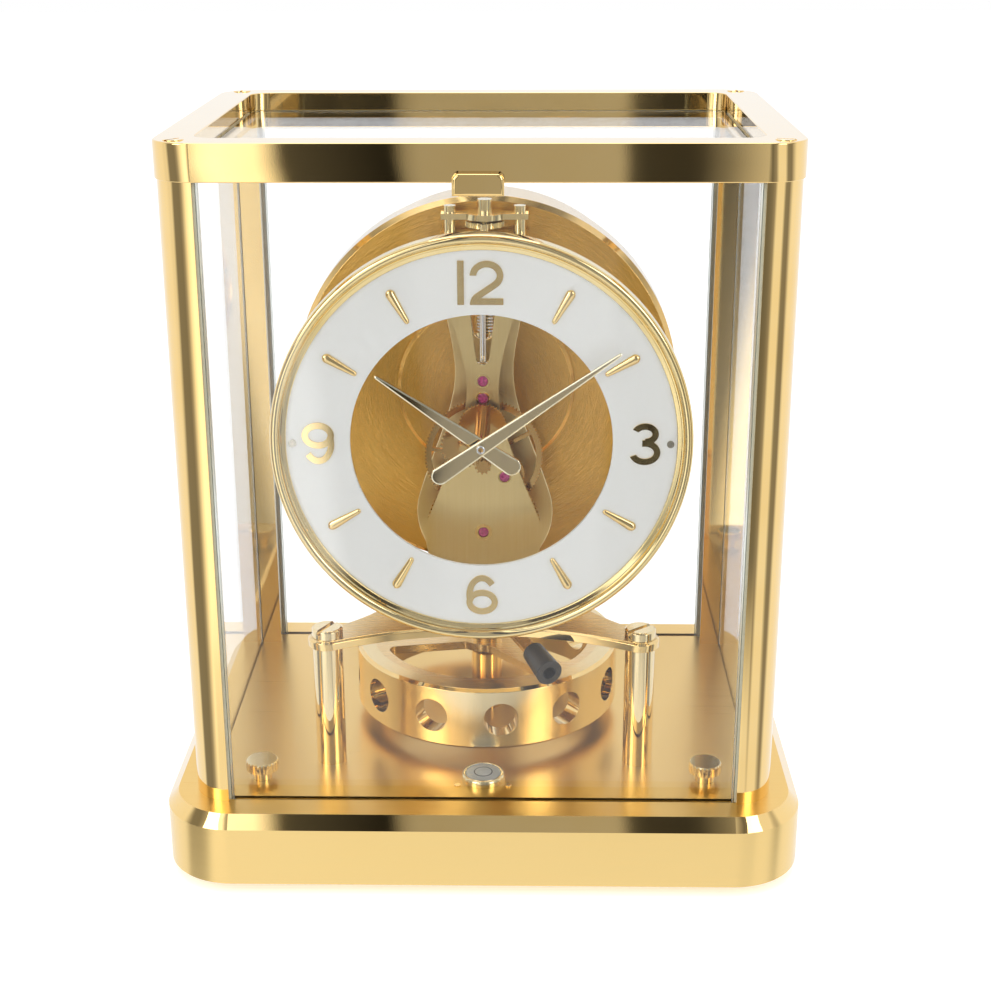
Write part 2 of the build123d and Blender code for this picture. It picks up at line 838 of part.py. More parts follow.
# Pillars: two in front and one behind carry the support plate
pillar_places = ((-pillar_side, -pillar_forward), (pillar_side, -pillar_forward), (0, rear_pillar_back))
with BuildPart() as pillars:
    with BuildSketch(Plane.XY.offset(base_top)):
        with Locations(*pillar_places):
            Circle(pillar_radius)
    extrude(amount=plate_bottom - base_top)
    with BuildSketch(Plane.XY.offset(plate_bottom - pillar_screw_depth)):
        with Locations(*pillar_places):
            Circle(pillar_screw_shank + running_gap)
    extrude(amount=pillar_screw_depth + overrun, mode=Mode.SUBTRACT)
pillars.part.label = "pillars"
export_step(pillars.part, "parts/pillars.step")

# Support plate: a delta with three round lugs, a curved front edge and a polished bevel
left_lug = (-pillar_side, -pillar_forward)
right_lug = (pillar_side, -pillar_forward)
waist_side = pillar_side * plate_waist_share
with BuildPart() as support_plate:
    with BuildSketch(Plane.XY.offset(plate_bottom)):
        with BuildLine():
            front_left = (left_lug[0] + lug_radius * cos(radians(plate_front_lean)),
                          left_lug[1] - lug_radius * sin(radians(plate_front_lean)))
            front_right = (-front_left[0], front_left[1])
            rear_left = (left_lug[0], left_lug[1] + lug_radius)
            rear_right = (-rear_left[0], rear_left[1])
            back_left = (-plate_back_side, -plate_back_forward)
            back_right = (plate_back_side, -plate_back_forward)
            lug_left = (-lug_radius, rear_pillar_back)
            lug_right = (lug_radius, rear_pillar_back)
            ThreePointArc(front_left, (0, -plate_waist_forward), front_right)
            Line(front_right, right_lug)
            Line(right_lug, rear_right)
            Spline(rear_right, (waist_side + lug_radius, -pillar_forward / 2), back_right, lug_right)
            Line(lug_right, lug_left)
            Spline(lug_left, back_left, (-waist_side - lug_radius, -pillar_forward / 2), rear_left)
            Line(rear_left, left_lug)
            Line(left_lug, front_left)
        make_face()
    extrude(amount=plate_thickness)
    chamfer(support_plate.edges().group_by(Axis.Z)[-1].filter_by(GeomType.LINE, reverse=True), plate_bevel)
    with BuildPart(mode=Mode.PRIVATE) as lugs:
        with BuildSketch(Plane.XY.offset(plate_bottom)):
            with Locations(left_lug, right_lug, (0, rear_pillar_back)):
                Circle(lug_radius)
        extrude(amount=plate_thickness)
        chamfer(lugs.edges().group_by(Axis.Z)[-1], plate_bevel)
    add(lugs.part)
    with BuildSketch(Plane.XY.offset(plate_bottom - overrun)):
        with Locations(*pillar_places):
            Circle(pillar_screw_shank + running_gap)
        with Locations((0, axis_back)):
            Circle(plate_bore)
    extrude(amount=plate_thickness + 2 * overrun, mode=Mode.SUBTRACT)
support_plate.part.label = "support_plate"
export_step(support_plate.part, "parts/support_plate.step")

# Pillar screws: large slotted heads on the lugs
with BuildPart() as pillar_screws:
    for screw_place, slot_turn in zip(pillar_places, (62, 40, 15)):
        with BuildSketch(Plane.XY.offset(plate_top)):
            with Locations(screw_place):
                Circle(pillar_screw_head)
        extrude(amount=pillar_screw_height)
        with BuildSketch(Plane.XY.offset(plate_bottom - pillar_screw_depth + seat_gap)):
            with Locations(screw_place):
                Circle(pillar_screw_shank)
        extrude(amount=pillar_screw_depth - seat_gap + plate_thickness)
    chamfer(pillar_screws.edges().group_by(Axis.Z)[-1], edge_break)
    for screw_place, slot_turn in zip(pillar_places, (62, 40, 15)):
        with BuildSketch(Plane.XY.offset(plate_top + pillar_screw_height)):
            with Locations(Location(screw_place, slot_turn)):
                Rectangle(2 * pillar_screw_head + overrun, pillar_slot_width)
        extrude(amount=-pillar_slot_depth, mode=Mode.SUBTRACT)
pillar_screws.part.label = "pillar_screws"
export_step(pillar_screws.part, "parts/pillar_screws.step")

# Balance ring: a heavy hoop with round holes through its wall
with BuildPart() as balance_ring:
    with BuildSketch(Plane.XY.offset(ring_bottom)):
        with Locations((0, axis_back)):
            Circle(ring_radius)
            Circle(ring_radius - ring_wall, mode=Mode.SUBTRACT)
    extrude(amount=ring_height)
    chamfer(balance_ring.edges().filter_by(GeomType.CIRCLE).sort_by(SortBy.RADIUS)[-2:], ring_bevel)
    for hole in range(ring_hole_count):
        hole_angle = ring_hole_turn - 90 + hole * 360 / ring_hole_count
        outward = Vector(cos(radians(hole_angle)), sin(radians(hole_angle)), 0)
        hole_start = Vector(0, axis_back, ring_bottom + ring_height / 2)
        hole_start += outward * (ring_radius - 2 * ring_wall)
        with BuildSketch(Plane(origin=hole_start, z_dir=outward)):
            Circle(ring_hole_radius)
        extrude(amount=2 * ring_wall + overrun, mode=Mode.SUBTRACT)
balance_ring.part.label = "balance_ring"
export_step(balance_ring.part, "parts/balance_ring.step")

def rim_place(angle, radius):
    """Place at an angle and a distance from the balance axis, seen from above."""
    return (radius * cos(radians(angle)), axis_back + radius * sin(radians(angle)))


# Balance web: three broad arms inside a thin rim
web_radius = ring_radius - ring_wall - running_gap
with BuildPart() as balance_web:
    with BuildSketch(Plane.XY.offset(web_bottom)):
        with Locations((0, axis_back)):
            Circle(web_radius)
    extrude(amount=web_thickness)
    inner_rim = web_radius - web_rim
    for arm in range(web_arm_count):
        start_angle = web_arm_turn + arm * 360 / web_arm_count
        middle_angle = start_angle + 180 / web_arm_count
        end_angle = start_angle + 360 / web_arm_count

        inner_lean = degrees(asin(web_arm_half / web_hub_reach))
        outer_lean = degrees(asin(web_arm_half / inner_rim))
        first_inner = rim_place(start_angle + inner_lean, web_hub_reach)
        first_outer = rim_place(start_angle + outer_lean, inner_rim)
        last_outer = rim_place(end_angle - outer_lean, inner_rim)
        last_inner = rim_place(end_angle - inner_lean, web_hub_reach)
        with BuildSketch(Plane.XY.offset(web_bottom - overrun)) as opening:
            with BuildLine():
                Line(first_inner, first_outer)
                ThreePointArc(first_outer, rim_place(middle_angle, inner_rim), last_outer)
                Line(last_outer, last_inner)
                ThreePointArc(last_inner, rim_place(middle_angle, web_hub_reach), first_inner)
            make_face()
            fillet(opening.vertices(), web_corner)
        extrude(amount=web_thickness + 2 * overrun, mode=Mode.SUBTRACT)
    with BuildSketch(Plane.XY.offset(web_bottom - overrun)):
        with Locations((0, axis_back)):
            Circle(hub_radius + running_gap)
    extrude(amount=web_thickness + 2 * overrun, mode=Mode.SUBTRACT)
balance_web.part.label = "balance_web"
export_step(balance_web.part, "parts/balance_web.step")

# Balance hub: the boss and staff that hang on the wire
with BuildPart() as balance_hub:
    for start, end, radius in ((hub_bottom, hub_top, hub_radius), (hub_top, staff_top, staff_radius)):
        with BuildSketch(Plane.XY.offset(start)):
            with Locations((0, axis_back)):
                Circle(radius)
        extrude(amount=end - start)
    chamfer(balance_hub.edges().filter_by(GeomType.CIRCLE).group_by(SortBy.RADIUS)[-1], edge_break)
balance_hub.part.label = "balance_hub"
export_step(balance_hub.part, "parts/balance_hub.step")

# Stop post: a fixed post on the base, on which the locked balance rests
with BuildPart() as stop_post:
    with BuildSketch(Plane.XY.offset(base_top)):
        with Locations((0, axis_back)):
            Circle(stop_post_radius)
    extrude(amount=hub_bottom - stop_gap - base_top)
    chamfer(stop_post.edges().group_by(Axis.Z)[-1], edge_break)
stop_post.part.label = "stop_post"
export_step(stop_post.part, "parts/stop_post.step")

# Torsion wire: runs from the staff up to the stud
stud_bottom = regulator_plate_bottom + regulator_plate_thickness
with BuildPart() as torsion_wire:
    with BuildSketch(Plane.XY.offset(staff_top)):
        with Locations((0, axis_back)):
            Circle(wire_radius)
    extrude(amount=stud_bottom + stud_height / 2 - staff_top)
torsion_wire.part.label = "torsion_wire"
export_step(torsion_wire.part, "parts/torsion_wire.step")

# Lever bush: a flanged tube under the plate, on which the lock lever turns
with BuildPart() as lever_bush:
    with BuildSketch(Plane.XY.offset(bush_bottom)):
        with Locations((0, axis_back)):
            Circle(bush_radius)
    extrude(amount=plate_bottom - bush_bottom)
    with BuildSketch(Plane.XY.offset(bush_bottom)):
        with Locations((0, axis_back)):
            Circle(bush_flange_radius)
    extrude(amount=bush_flange)
    with BuildSketch(Plane.XY.offset(bush_bottom - overrun)):
        with Locations((0, axis_back)):
            Circle(bush_bore)
    extrude(amount=plate_bottom - bush_bottom + 2 * overrun, mode=Mode.SUBTRACT)
lever_bush.part.label = "lever_bush"
export_step(lever_bush.part, "parts/lever_bush.step")

# Lock lever: a collar round the bush and a flat arm that reaches forward over the ring
collar_bottom = bush_bottom + bush_flange + running_gap
lever_way = Vector(sin(radians(lever_turn)), -cos(radians(lever_turn)), 0)
lever_side = Vector(cos(radians(lever_turn)), sin(radians(lever_turn)), 0)
lever_down = lever_way * cos(radians(lever_dip)) + Vector(0, 0, -sin(radians(lever_dip)))
balance_axis_place = Vector(0, axis_back, 0)
tip_start = balance_axis_place + lever_way * tip_start_reach + Vector(0, 0, tip_axis_height)
tip_length = (tip_end_reach - tip_start_reach) / cos(radians(lever_dip))
tip_end = tip_start + lever_down * tip_length
arm_end = tip_start + lever_down * (lever_reach - tip_start_reach)
arm_start_height = collar_bottom + collar_height / 2
arm_start = balance_axis_place + lever_way * bush_flange_radius + Vector(0, 0, arm_start_height)
arm_way = (arm_end - arm_start).normalized()
arm_length = (arm_end - arm_start).length
with BuildPart() as lock_lever:
    with BuildSketch(Plane.XY.offset(collar_bottom)):
        with Locations((0, axis_back)):
            Circle(collar_radius)
    extrude(amount=collar_height)
    with BuildSketch(Plane(origin=arm_start, x_dir=lever_side, z_dir=arm_way)):
        Rectangle(lever_width, lever_thickness)
    extrude(amount=arm_length)
    with BuildSketch(Plane.XY.offset(collar_bottom - overrun)):
        with Locations((0, axis_back)):
            Circle(bush_radius + running_gap)
    extrude(amount=collar_height + 2 * overrun, mode=Mode.SUBTRACT)
lock_lever.part.label = "lock_lever"
export_step(lock_lever.part, "parts/lock_lever.step")

# Lever tip: a tapered rubber sleeve with an open end
with BuildPart() as lever_tip:
    with BuildSketch(Plane(origin=tip_start, x_dir=lever_side, z_dir=lever_down)):
        Circle(tip_start_radius)
    with BuildSketch(Plane(origin=tip_end, x_dir=lever_side, z_dir=lever_down)):
        Circle(tip_end_radius)
    loft()
    with BuildSketch(Plane(origin=tip_end, x_dir=lever_side, z_dir=lever_down)):
        Circle(tip_hole_radius)
    extrude(amount=-tip_hole_depth, mode=Mode.SUBTRACT)
    with BuildSketch(Plane(origin=arm_start, x_dir=lever_side, z_dir=arm_way)):
        Rectangle(lever_width + 2 * running_gap, lever_thickness + 2 * running_gap)
    extrude(amount=arm_length + running_gap, mode=Mode.SUBTRACT)
lever_tip.part.label = "lever_tip"
export_step(lever_tip.part, "parts/lever_tip.step")

# Each jewel has the axis, the cup and the arbor that runs in it; the third wheel turns on a stud instead
jewel_places = ((pallet_axis, cup_radius, slim_arbor_radius), (escape_axis, cup_radius, slim_arbor_radius),
                (third_axis, cup_radius, 0), (barrel_axis, barrel_cup_radius, barrel_arbor_radius))
minute_stud_end = motion_upper_forward + wheel_thickness + running_gap
third_stud_end = third_pinion_forward - running_gap

# Front plate: a bottle shape with a forked top, a tail below and seats for the jewels
bulb_lean = 20.0
front_bulb_join = (front_bulb_radius * cos(radians(bulb_lean)),
                   front_bulb_height + front_bulb_radius * sin(radians(bulb_lean)))
front_side = [front_bulb_join, (front_shoulder_half, front_bulb_height + front_shoulder_rise),
              (front_neck_half, front_neck_height), (front_arm_half, front_arm_height),
              (front_top_half, front_top_height)]
front_slot_end = front_slot_bottom + front_slot_radius
slot_end_half = front_slot_radius
with BuildPart() as front_plate:
    with BuildSketch(forward(front_plate_back)):
        with BuildLine():
            Spline(*front_side)
            Line(front_side[-1], (front_slot_top_half, front_top_height))
            Line((front_slot_top_half, front_top_height), (slot_end_half, front_slot_end))
            ThreePointArc((slot_end_half, front_slot_end), (0, front_slot_bottom),
                          (-slot_end_half, front_slot_end))
            Line((-slot_end_half, front_slot_end), (-front_slot_top_half, front_top_height))
            Line((-front_slot_top_half, front_top_height), (-front_top_half, front_top_height))
            Spline(*reversed([(-x, z) for x, z in front_side]))
            ThreePointArc((-front_bulb_join[0], front_bulb_join[1]),
                          (0, front_bulb_height - front_bulb_radius), front_bulb_join)
        make_face()
        with Locations((0, (front_tail_bottom + front_bulb_height) / 2)):
            Rectangle(2 * front_tail_half, front_bulb_height - front_tail_bottom)
        for axis in (hands_axis, centre_axis):
            with Locations(axis):
                Circle(arbor_radius + running_gap, mode=Mode.SUBTRACT)
        with Locations((-plate_pillar_side, plate_pillar_height), (plate_pillar_side, plate_pillar_height),
                       (0, tail_pillar_height)):
            Circle(plate_pillar_radius / 2 + running_gap, mode=Mode.SUBTRACT)
    extrude(amount=front_plate_thickness)
    for axis, radius, arbor in jewel_places:
        extrude(disc(forward(front_plate_forward), radius, axis), amount=cup_rise)
        extrude(disc(forward(front_plate_forward - ruby_depth), ruby_radius + running_gap, axis),
                amount=ruby_depth + overrun, mode=Mode.SUBTRACT)
        if arbor > 0:
            extrude(disc(forward(front_plate_back - overrun), arbor + running_gap, axis),
                    amount=overrun + pivot_depth, mode=Mode.SUBTRACT)
    extrude(disc(forward(front_plate_forward), slim_arbor_radius, minute_axis),
            amount=minute_stud_end - front_plate_forward)
    extrude(disc(forward(minute_stud_end), stud_head_radius, minute_axis), amount=stud_head)
    extrude(disc(forward(third_stud_end), slim_arbor_radius, third_axis),
            amount=front_plate_back - third_stud_end)
    extrude(disc(forward(third_stud_end - stud_head), stud_head_radius, third_axis), amount=stud_head)
front_plate.part.label = "front_plate"
export_step(front_plate.part, "parts/front_plate.step")

# Back plate: a larger bottle shape that stands on the support plate
back_top_height = base_bar_top - base_bar_thickness
back_bulb_join = (back_bulb_radius * cos(radians(bulb_lean)),
                  back_bulb_height + back_bulb_radius * sin(radians(bulb_lean)))
back_slot_end = back_slot_bottom + back_slot_radius
back_side = [back_bulb_join, (back_shoulder_half, back_bulb_height + back_shoulder_rise),
             (back_neck_half, back_neck_height), (back_arm_half, back_arm_height),
             (back_top_half, back_top_height)]
with BuildPart() as back_plate:
    with BuildSketch(forward(back_plate_back)):
        with BuildLine():
            Spline(*back_side)
            Line(back_side[-1], (back_slot_top_half, back_top_height))
            Line((back_slot_top_half, back_top_height), (back_slot_radius, back_slot_end))
            ThreePointArc((back_slot_radius, back_slot_end), (0, back_slot_bottom),
                          (-back_slot_radius, back_slot_end))
            Line((-back_slot_radius, back_slot_end), (-back_slot_top_half, back_top_height))
            Line((-back_slot_top_half, back_top_height), (-back_top_half, back_top_height))
            Spline(*reversed([(-x, z) for x, z in back_side]))
            ThreePointArc((-back_bulb_join[0], back_bulb_join[1]), (0, back_bulb_height - back_bulb_radius),
                          back_bulb_join)
        make_face()
        with Locations((0, (plate_top + back_bulb_height) / 2)):
            Rectangle(2 * back_foot_half, back_bulb_height - plate_top)
        for axis in (pallet_axis, escape_axis):
            with Locations(axis):
                Circle(slim_arbor_radius + running_gap, mode=Mode.SUBTRACT)
        with Locations(centre_axis):
            Circle(arbor_radius + running_gap, mode=Mode.SUBTRACT)
        with Locations(barrel_axis):
            Circle(barrel_arbor_radius + running_gap, mode=Mode.SUBTRACT)
    extrude(amount=back_plate_thickness)
back_plate.part.label = "back_plate"
export_step(back_plate.part, "parts/back_plate.step")

# Plate pillars: turned distance pieces with a neck in the front plate
with BuildPart() as plate_pillars:
    for place in ((-plate_pillar_side, plate_pillar_height), (plate_pillar_side, plate_pillar_height),
                  (0, tail_pillar_height)):
        with BuildSketch(forward(back_plate_forward)):
            with Locations(place):
                Circle(plate_pillar_radius)
        extrude(amount=front_plate_back - back_plate_forward)
        with BuildSketch(forward(front_plate_back)):
            with Locations(place):
                Circle(plate_pillar_radius / 2)
        extrude(amount=front_plate_thickness)
plate_pillars.part.label = "plate_pillars"
export_step(plate_pillars.part, "parts/plate_pillars.step")

# Rubies: low domes set in the cups of the front plate
with BuildPart() as rubies:
    for axis, radius, arbor in jewel_places:
        extrude(disc(forward(front_plate_forward - ruby_depth), ruby_radius, axis), amount=ruby_depth)
    fillet(rubies.edges().group_by(Axis.Y)[0], ruby_dome)
rubies.part.label = "rubies"
export_step(rubies.part, "parts/rubies.step")

# Wheel turns that put every pair in mesh at rest
third_turn = meshed_turn(centre_pinion_teeth, 0, third_teeth, heading(centre_axis, third_axis))
barrel_turn = meshed_turn(third_pinion_teeth, 0, barrel_teeth, heading(third_axis, barrel_axis))
escape_pinion_turn = meshed_turn(centre_teeth, 0, escape_pinion_teeth, heading(centre_axis, escape_axis))
minute_wheel_turn = meshed_turn(cannon_teeth, 0, minute_wheel_teeth, heading(hands_axis, minute_axis))
front_pinion_turn = meshed_turn(minute_wheel_teeth, minute_wheel_turn, cannon_teeth,
                                heading(minute_axis, centre_axis))
minute_pinion_turn = meshed_turn(hour_teeth, 0, minute_pinion_teeth, heading(hands_axis, minute_axis))
cannon_pitch = shared_radius(hands_axis, minute_axis, cannon_teeth, minute_wheel_teeth)
minute_wheel_pitch = shared_radius(hands_axis, minute_axis, minute_wheel_teeth, cannon_teeth)
hour_pitch = shared_radius(hands_axis, minute_axis, hour_teeth, minute_pinion_teeth)
minute_pinion_pitch = shared_radius(hands_axis, minute_axis, minute_pinion_teeth, hour_teeth)
centre_pitch = shared_radius(centre_axis, escape_axis, centre_teeth, escape_pinion_teeth)
escape_pinion_pitch = shared_radius(centre_axis, escape_axis, escape_pinion_teeth, centre_teeth)
centre_pinion_pitch = shared_radius(centre_axis, third_axis, centre_pinion_teeth, third_teeth)
third_pitch = shared_radius(centre_axis, third_axis, third_teeth, centre_pinion_teeth)
third_pinion_pitch = shared_radius(third_axis, barrel_axis, third_pinion_teeth, barrel_teeth)
barrel_pitch = shared_radius(third_axis, barrel_axis, barrel_teeth, third_pinion_teeth)

# Centre wheel: five thin spokes, a pinion for the third wheel and one in front for the motion work
with BuildPart() as centre_wheel:
    extrude(toothed(forward(centre_forward), centre_teeth, centre_pitch, 0, centre_axis),
            amount=wheel_thickness)
    centre_root = centre_pitch * (1 - 2 * dedendum_share / centre_teeth)
    extrude(disc(forward(centre_forward - overrun), centre_root - centre_rim, centre_axis),
            amount=wheel_thickness + 2 * overrun, mode=Mode.SUBTRACT)
    for spoke in range(spoke_count):
        spoke_angle = spoke_turn + spoke * 360 / spoke_count
        spoke_reach = centre_root - centre_rim / 2
        with BuildSketch(forward(centre_forward)) as spoke_outline:
            spoke_side = spoke_reach / 2 * cos(radians(spoke_angle))
            spoke_height = centre_height + spoke_reach / 2 * sin(radians(spoke_angle))
            with Locations(Location((spoke_side, spoke_height), spoke_angle)):
                Rectangle(spoke_reach, spoke_width)
        extrude(amount=wheel_thickness)
    extrude(disc(forward(centre_forward), centre_hub, centre_axis), amount=wheel_thickness)
    extrude(disc(forward(back_plate_back), arbor_radius, centre_axis),
            amount=motion_lower_forward + wheel_thickness - back_plate_back)
    extrude(toothed(forward(third_forward), centre_pinion_teeth, centre_pinion_pitch, 0, centre_axis),
            amount=wheel_thickness)
    extrude(toothed(forward(motion_lower_forward), cannon_teeth, cannon_pitch, front_pinion_turn,
                    centre_axis), amount=wheel_thickness)
centre_wheel.part.label = "centre_wheel"
export_step(centre_wheel.part, "parts/centre_wheel.step")

# Third wheel: wheel and pinion on one sleeve, turning on a stud
with BuildPart() as third_wheel:
    extrude(toothed(forward(third_forward), third_teeth, third_pitch, third_turn, third_axis),
            amount=wheel_thickness)
    extrude(toothed(forward(third_pinion_forward), third_pinion_teeth, third_pinion_pitch, 0, third_axis),
            amount=wheel_thickness)
    extrude(disc(forward(third_pinion_forward), third_hub_radius, third_axis),
            amount=third_forward - third_pinion_forward)
    extrude(disc(forward(third_pinion_forward - overrun), slim_arbor_radius + running_gap, third_axis),
            amount=third_forward + wheel_thickness - third_pinion_forward + 2 * overrun, mode=Mode.SUBTRACT)
third_wheel.part.label = "third_wheel"
export_step(third_wheel.part, "parts/third_wheel.step")

# Barrel: a toothed wheel in front and the round spring case behind it on one hub
with BuildPart() as barrel:
    extrude(toothed(forward(third_pinion_forward), barrel_teeth, barrel_pitch, barrel_turn, barrel_axis),
            amount=wheel_thickness)
    extrude(disc(forward(barrel_drum_front), barrel_hub_radius, barrel_axis),
            amount=third_pinion_forward - barrel_drum_front)
    extrude(disc(forward(barrel_drum_back), barrel_drum_radius, barrel_axis),
            amount=barrel_drum_front - barrel_drum_back)
    extrude(disc(forward(barrel_drum_back - overrun), barrel_arbor_radius + running_gap, barrel_axis),
            amount=third_pinion_forward + wheel_thickness - barrel_drum_back + 2 * overrun,
            mode=Mode.SUBTRACT)
barrel.part.label = "barrel"
export_step(barrel.part, "parts/barrel.step")

# Ratchet: the barrel's arbor with the wheel behind the back plate that the bellows winds
with BuildPart() as ratchet:
    extrude(disc(forward(ratchet_forward), barrel_arbor_radius, barrel_axis),
            amount=front_plate_back + pivot_depth - running_gap - ratchet_forward)
    extrude(toothed(forward(ratchet_forward), ratchet_teeth, ratchet_radius, 0, barrel_axis),
            amount=wheel_thickness)
ratchet.part.label = "ratchet"
export_step(ratchet.part, "parts/ratchet.step")

# Escape wheel: fifteen pointed teeth on an arbor with its pinion
with BuildPart() as escape_wheel:
    with BuildSketch(forward(escape_forward)):
        with BuildLine():
            escape_points = []
            for tooth in range(escape_teeth):
                tooth_angle = tooth * 360 / escape_teeth
                for radius, step in ((escape_radius, 0), (escape_radius - escape_rim, 90 / escape_teeth),
                                     (escape_radius - escape_rim, 270 / escape_teeth)):
                    angle = radians(tooth_angle + step)
                    escape_points.append((radius * cos(angle), escape_height + radius * sin(angle)))
            Polyline(*escape_points, close=True)
        make_face()
    extrude(amount=wheel_thickness)
    extrude(toothed(forward(centre_forward), escape_pinion_teeth, escape_pinion_pitch, escape_pinion_turn,
                    escape_axis), amount=wheel_thickness)
    extrude(disc(forward(back_plate_back), slim_arbor_radius, escape_axis),
            amount=front_plate_back + pivot_depth - running_gap - back_plate_back)
escape_wheel.part.label = "escape_wheel"
export_step(escape_wheel.part, "parts/escape_wheel.step")

# Pallet fork: an anchor over the escape wheel, and a long lever that ends in a hanging steel rod
with BuildPart() as pallet_fork:
    extrude(disc(forward(back_plate_back), slim_arbor_radius, pallet_axis),
            amount=front_plate_back + pivot_depth - running_gap - back_plate_back)
    with BuildSketch(forward(escape_forward)):
        with Locations((0, pallet_height - anchor_bar / 2)):
            Rectangle(2 * anchor_half, anchor_bar)
        for side in (-1, 1):
            with Locations((side * (anchor_half - anchor_stone / 2), pallet_height - anchor_drop / 2)):
                Rectangle(anchor_stone, anchor_drop)
        with Locations((0, (pallet_height + fork_top) / 2)):
            Rectangle(fork_width, fork_top - pallet_height)
    extrude(amount=wheel_thickness)
    with BuildSketch(forward(escape_forward)):
        with Locations((0, fork_top - fork_bridge / 2)):
            Rectangle(fork_width, fork_bridge)
    extrude(amount=rod_forward - escape_forward)
    with BuildSketch(Plane.XY.offset(rod_bottom + rod_radius)):
        with Locations((0, -rod_forward)):
            Circle(rod_radius)
    extrude(amount=fork_top - rod_bottom - rod_radius)
    with Locations((0, -rod_forward, rod_bottom + rod_radius)):
        Sphere(rod_radius)
pallet_fork.part.label = "pallet_fork"
export_step(pallet_fork.part, "parts/pallet_fork.step")

# Minute wheel: wheel and pinion of the motion work
with BuildPart() as minute_wheel:
    extrude(toothed(forward(motion_lower_forward), minute_wheel_teeth, minute_wheel_pitch, minute_wheel_turn,
                    minute_axis), amount=wheel_thickness)
    extrude(toothed(forward(motion_upper_forward), minute_pinion_teeth, minute_pinion_pitch,
                    minute_pinion_turn, minute_axis), amount=wheel_thickness)
    extrude(disc(forward(motion_lower_forward), third_hub_radius, minute_axis),
            amount=motion_upper_forward - motion_lower_forward)
    extrude(disc(forward(motion_lower_forward - overrun), slim_arbor_radius + running_gap, minute_axis),
            amount=motion_upper_forward - motion_lower_forward + wheel_thickness + 2 * overrun,
            mode=Mode.SUBTRACT)
minute_wheel.part.label = "minute_wheel"
export_step(minute_wheel.part, "parts/minute_wheel.step")

# Cannon pinion: the minute hand's arbor, its pinion and the long pipe to the hand
with BuildPart() as cannon_pinion:
    extrude(disc(forward(front_plate_back - seat_gap), arbor_radius, hands_axis),
            amount=front_plate_thickness + 2 * seat_gap)
    extrude(disc(forward(front_plate_forward + seat_gap), pipe_radius, hands_axis),
            amount=minute_hand_forward - front_plate_forward - seat_gap)
    extrude(toothed(forward(motion_lower_forward), cannon_teeth, cannon_pitch, 0, hands_axis),
            amount=wheel_thickness)
    extrude(disc(forward(minute_hand_forward), arbor_radius, hands_axis), amount=hand_thickness)
cannon_pinion.part.label = "cannon_pinion"
export_step(cannon_pinion.part, "parts/cannon_pinion.step")

# Hour wheel: wheel and pipe that turn on the cannon pinion
with BuildPart() as hour_wheel:
    extrude(toothed(forward(motion_upper_forward), hour_teeth, hour_pitch, 0, hands_axis),
            amount=wheel_thickness)
    extrude(disc(forward(motion_upper_forward), pipe_radius + running_gap + hour_pipe_wall, hands_axis),
            amount=hour_hand_forward - motion_upper_forward)
    extrude(disc(forward(motion_upper_forward - overrun), pipe_radius + running_gap, hands_axis),
            amount=hour_hand_forward - motion_upper_forward + 2 * overrun, mode=Mode.SUBTRACT)
hour_wheel.part.label = "hour_wheel"
export_step(hour_wheel.part, "parts/hour_wheel.step")


def hand(place, tip, tail, half, angle, bore):
    """Tapered hand with a round tail; the angle runs clockwise from twelve."""
    turn = radians(90 - angle)
    way = (cos(turn), sin(turn))
    with BuildPart() as blade:
        with BuildSketch(forward(place)):
            with Locations((-way[0] * (tail - half), hands_height - way[1] * (tail - half))):
                Circle(half)
            with Locations((way[0] * (tip - hand_point), hands_height + way[1] * (tip - hand_point))):
                Circle(hand_point)
            make_hull()
        extrude(amount=hand_thickness)
        chamfer(blade.edges().group_by(Axis.Y)[0], hand_bevel)
        extrude(disc(forward(place - overrun), bore, hands_axis), amount=hand_thickness + 2 * overrun,
                mode=Mode.SUBTRACT)
    return blade


hour_hand = hand(hour_hand_forward, hour_hand_tip, hour_hand_tail, hour_hand_half, hour_hand_angle,
                 pipe_radius + running_gap)
hour_hand.part.label = "hour_hand"
export_step(hour_hand.part, "parts/hour_hand.step")
minute_hand = hand(minute_hand_forward, minute_hand_tip, minute_hand_tail, minute_hand_half,
                   minute_hand_angle, arbor_radius)
minute_hand.part.label = "minute_hand"
export_step(minute_hand.part, "parts/minute_hand.step")

# Hand nut: a small bright ring that holds the minute hand
with BuildPart() as hand_nut:
    extrude(disc(forward(minute_hand_forward + hand_thickness), nut_radius, hands_axis), amount=nut_height)
    fillet(hand_nut.edges().group_by(Axis.Y)[0], edge_break)
    extrude(disc(forward(minute_hand_forward + hand_thickness - overrun), nut_bore, hands_axis),
            amount=nut_height + 2 * overrun, mode=Mode.SUBTRACT)
hand_nut.part.label = "hand_nut"
export_step(hand_nut.part, "parts/hand_nut.step")

# Dial ring: a white enamelled ring, open in the middle
dial_back = dial_forward - dial_thickness
with BuildPart() as dial_ring:
    with BuildSketch(forward(dial_back)):
        with Locations(hands_axis):
            Circle(dial_radius)
            Circle(dial_hole, mode=Mode.SUBTRACT)
        with Locations((-dial_screw_ring, hands_height), (dial_screw_ring, hands_height)):
            Circle(dial_post_radius / 2 + running_gap, mode=Mode.SUBTRACT)
    extrude(amount=dial_thickness)
dial_ring.part.label = "dial_ring"
export_step(dial_ring.part, "parts/dial_ring.step")

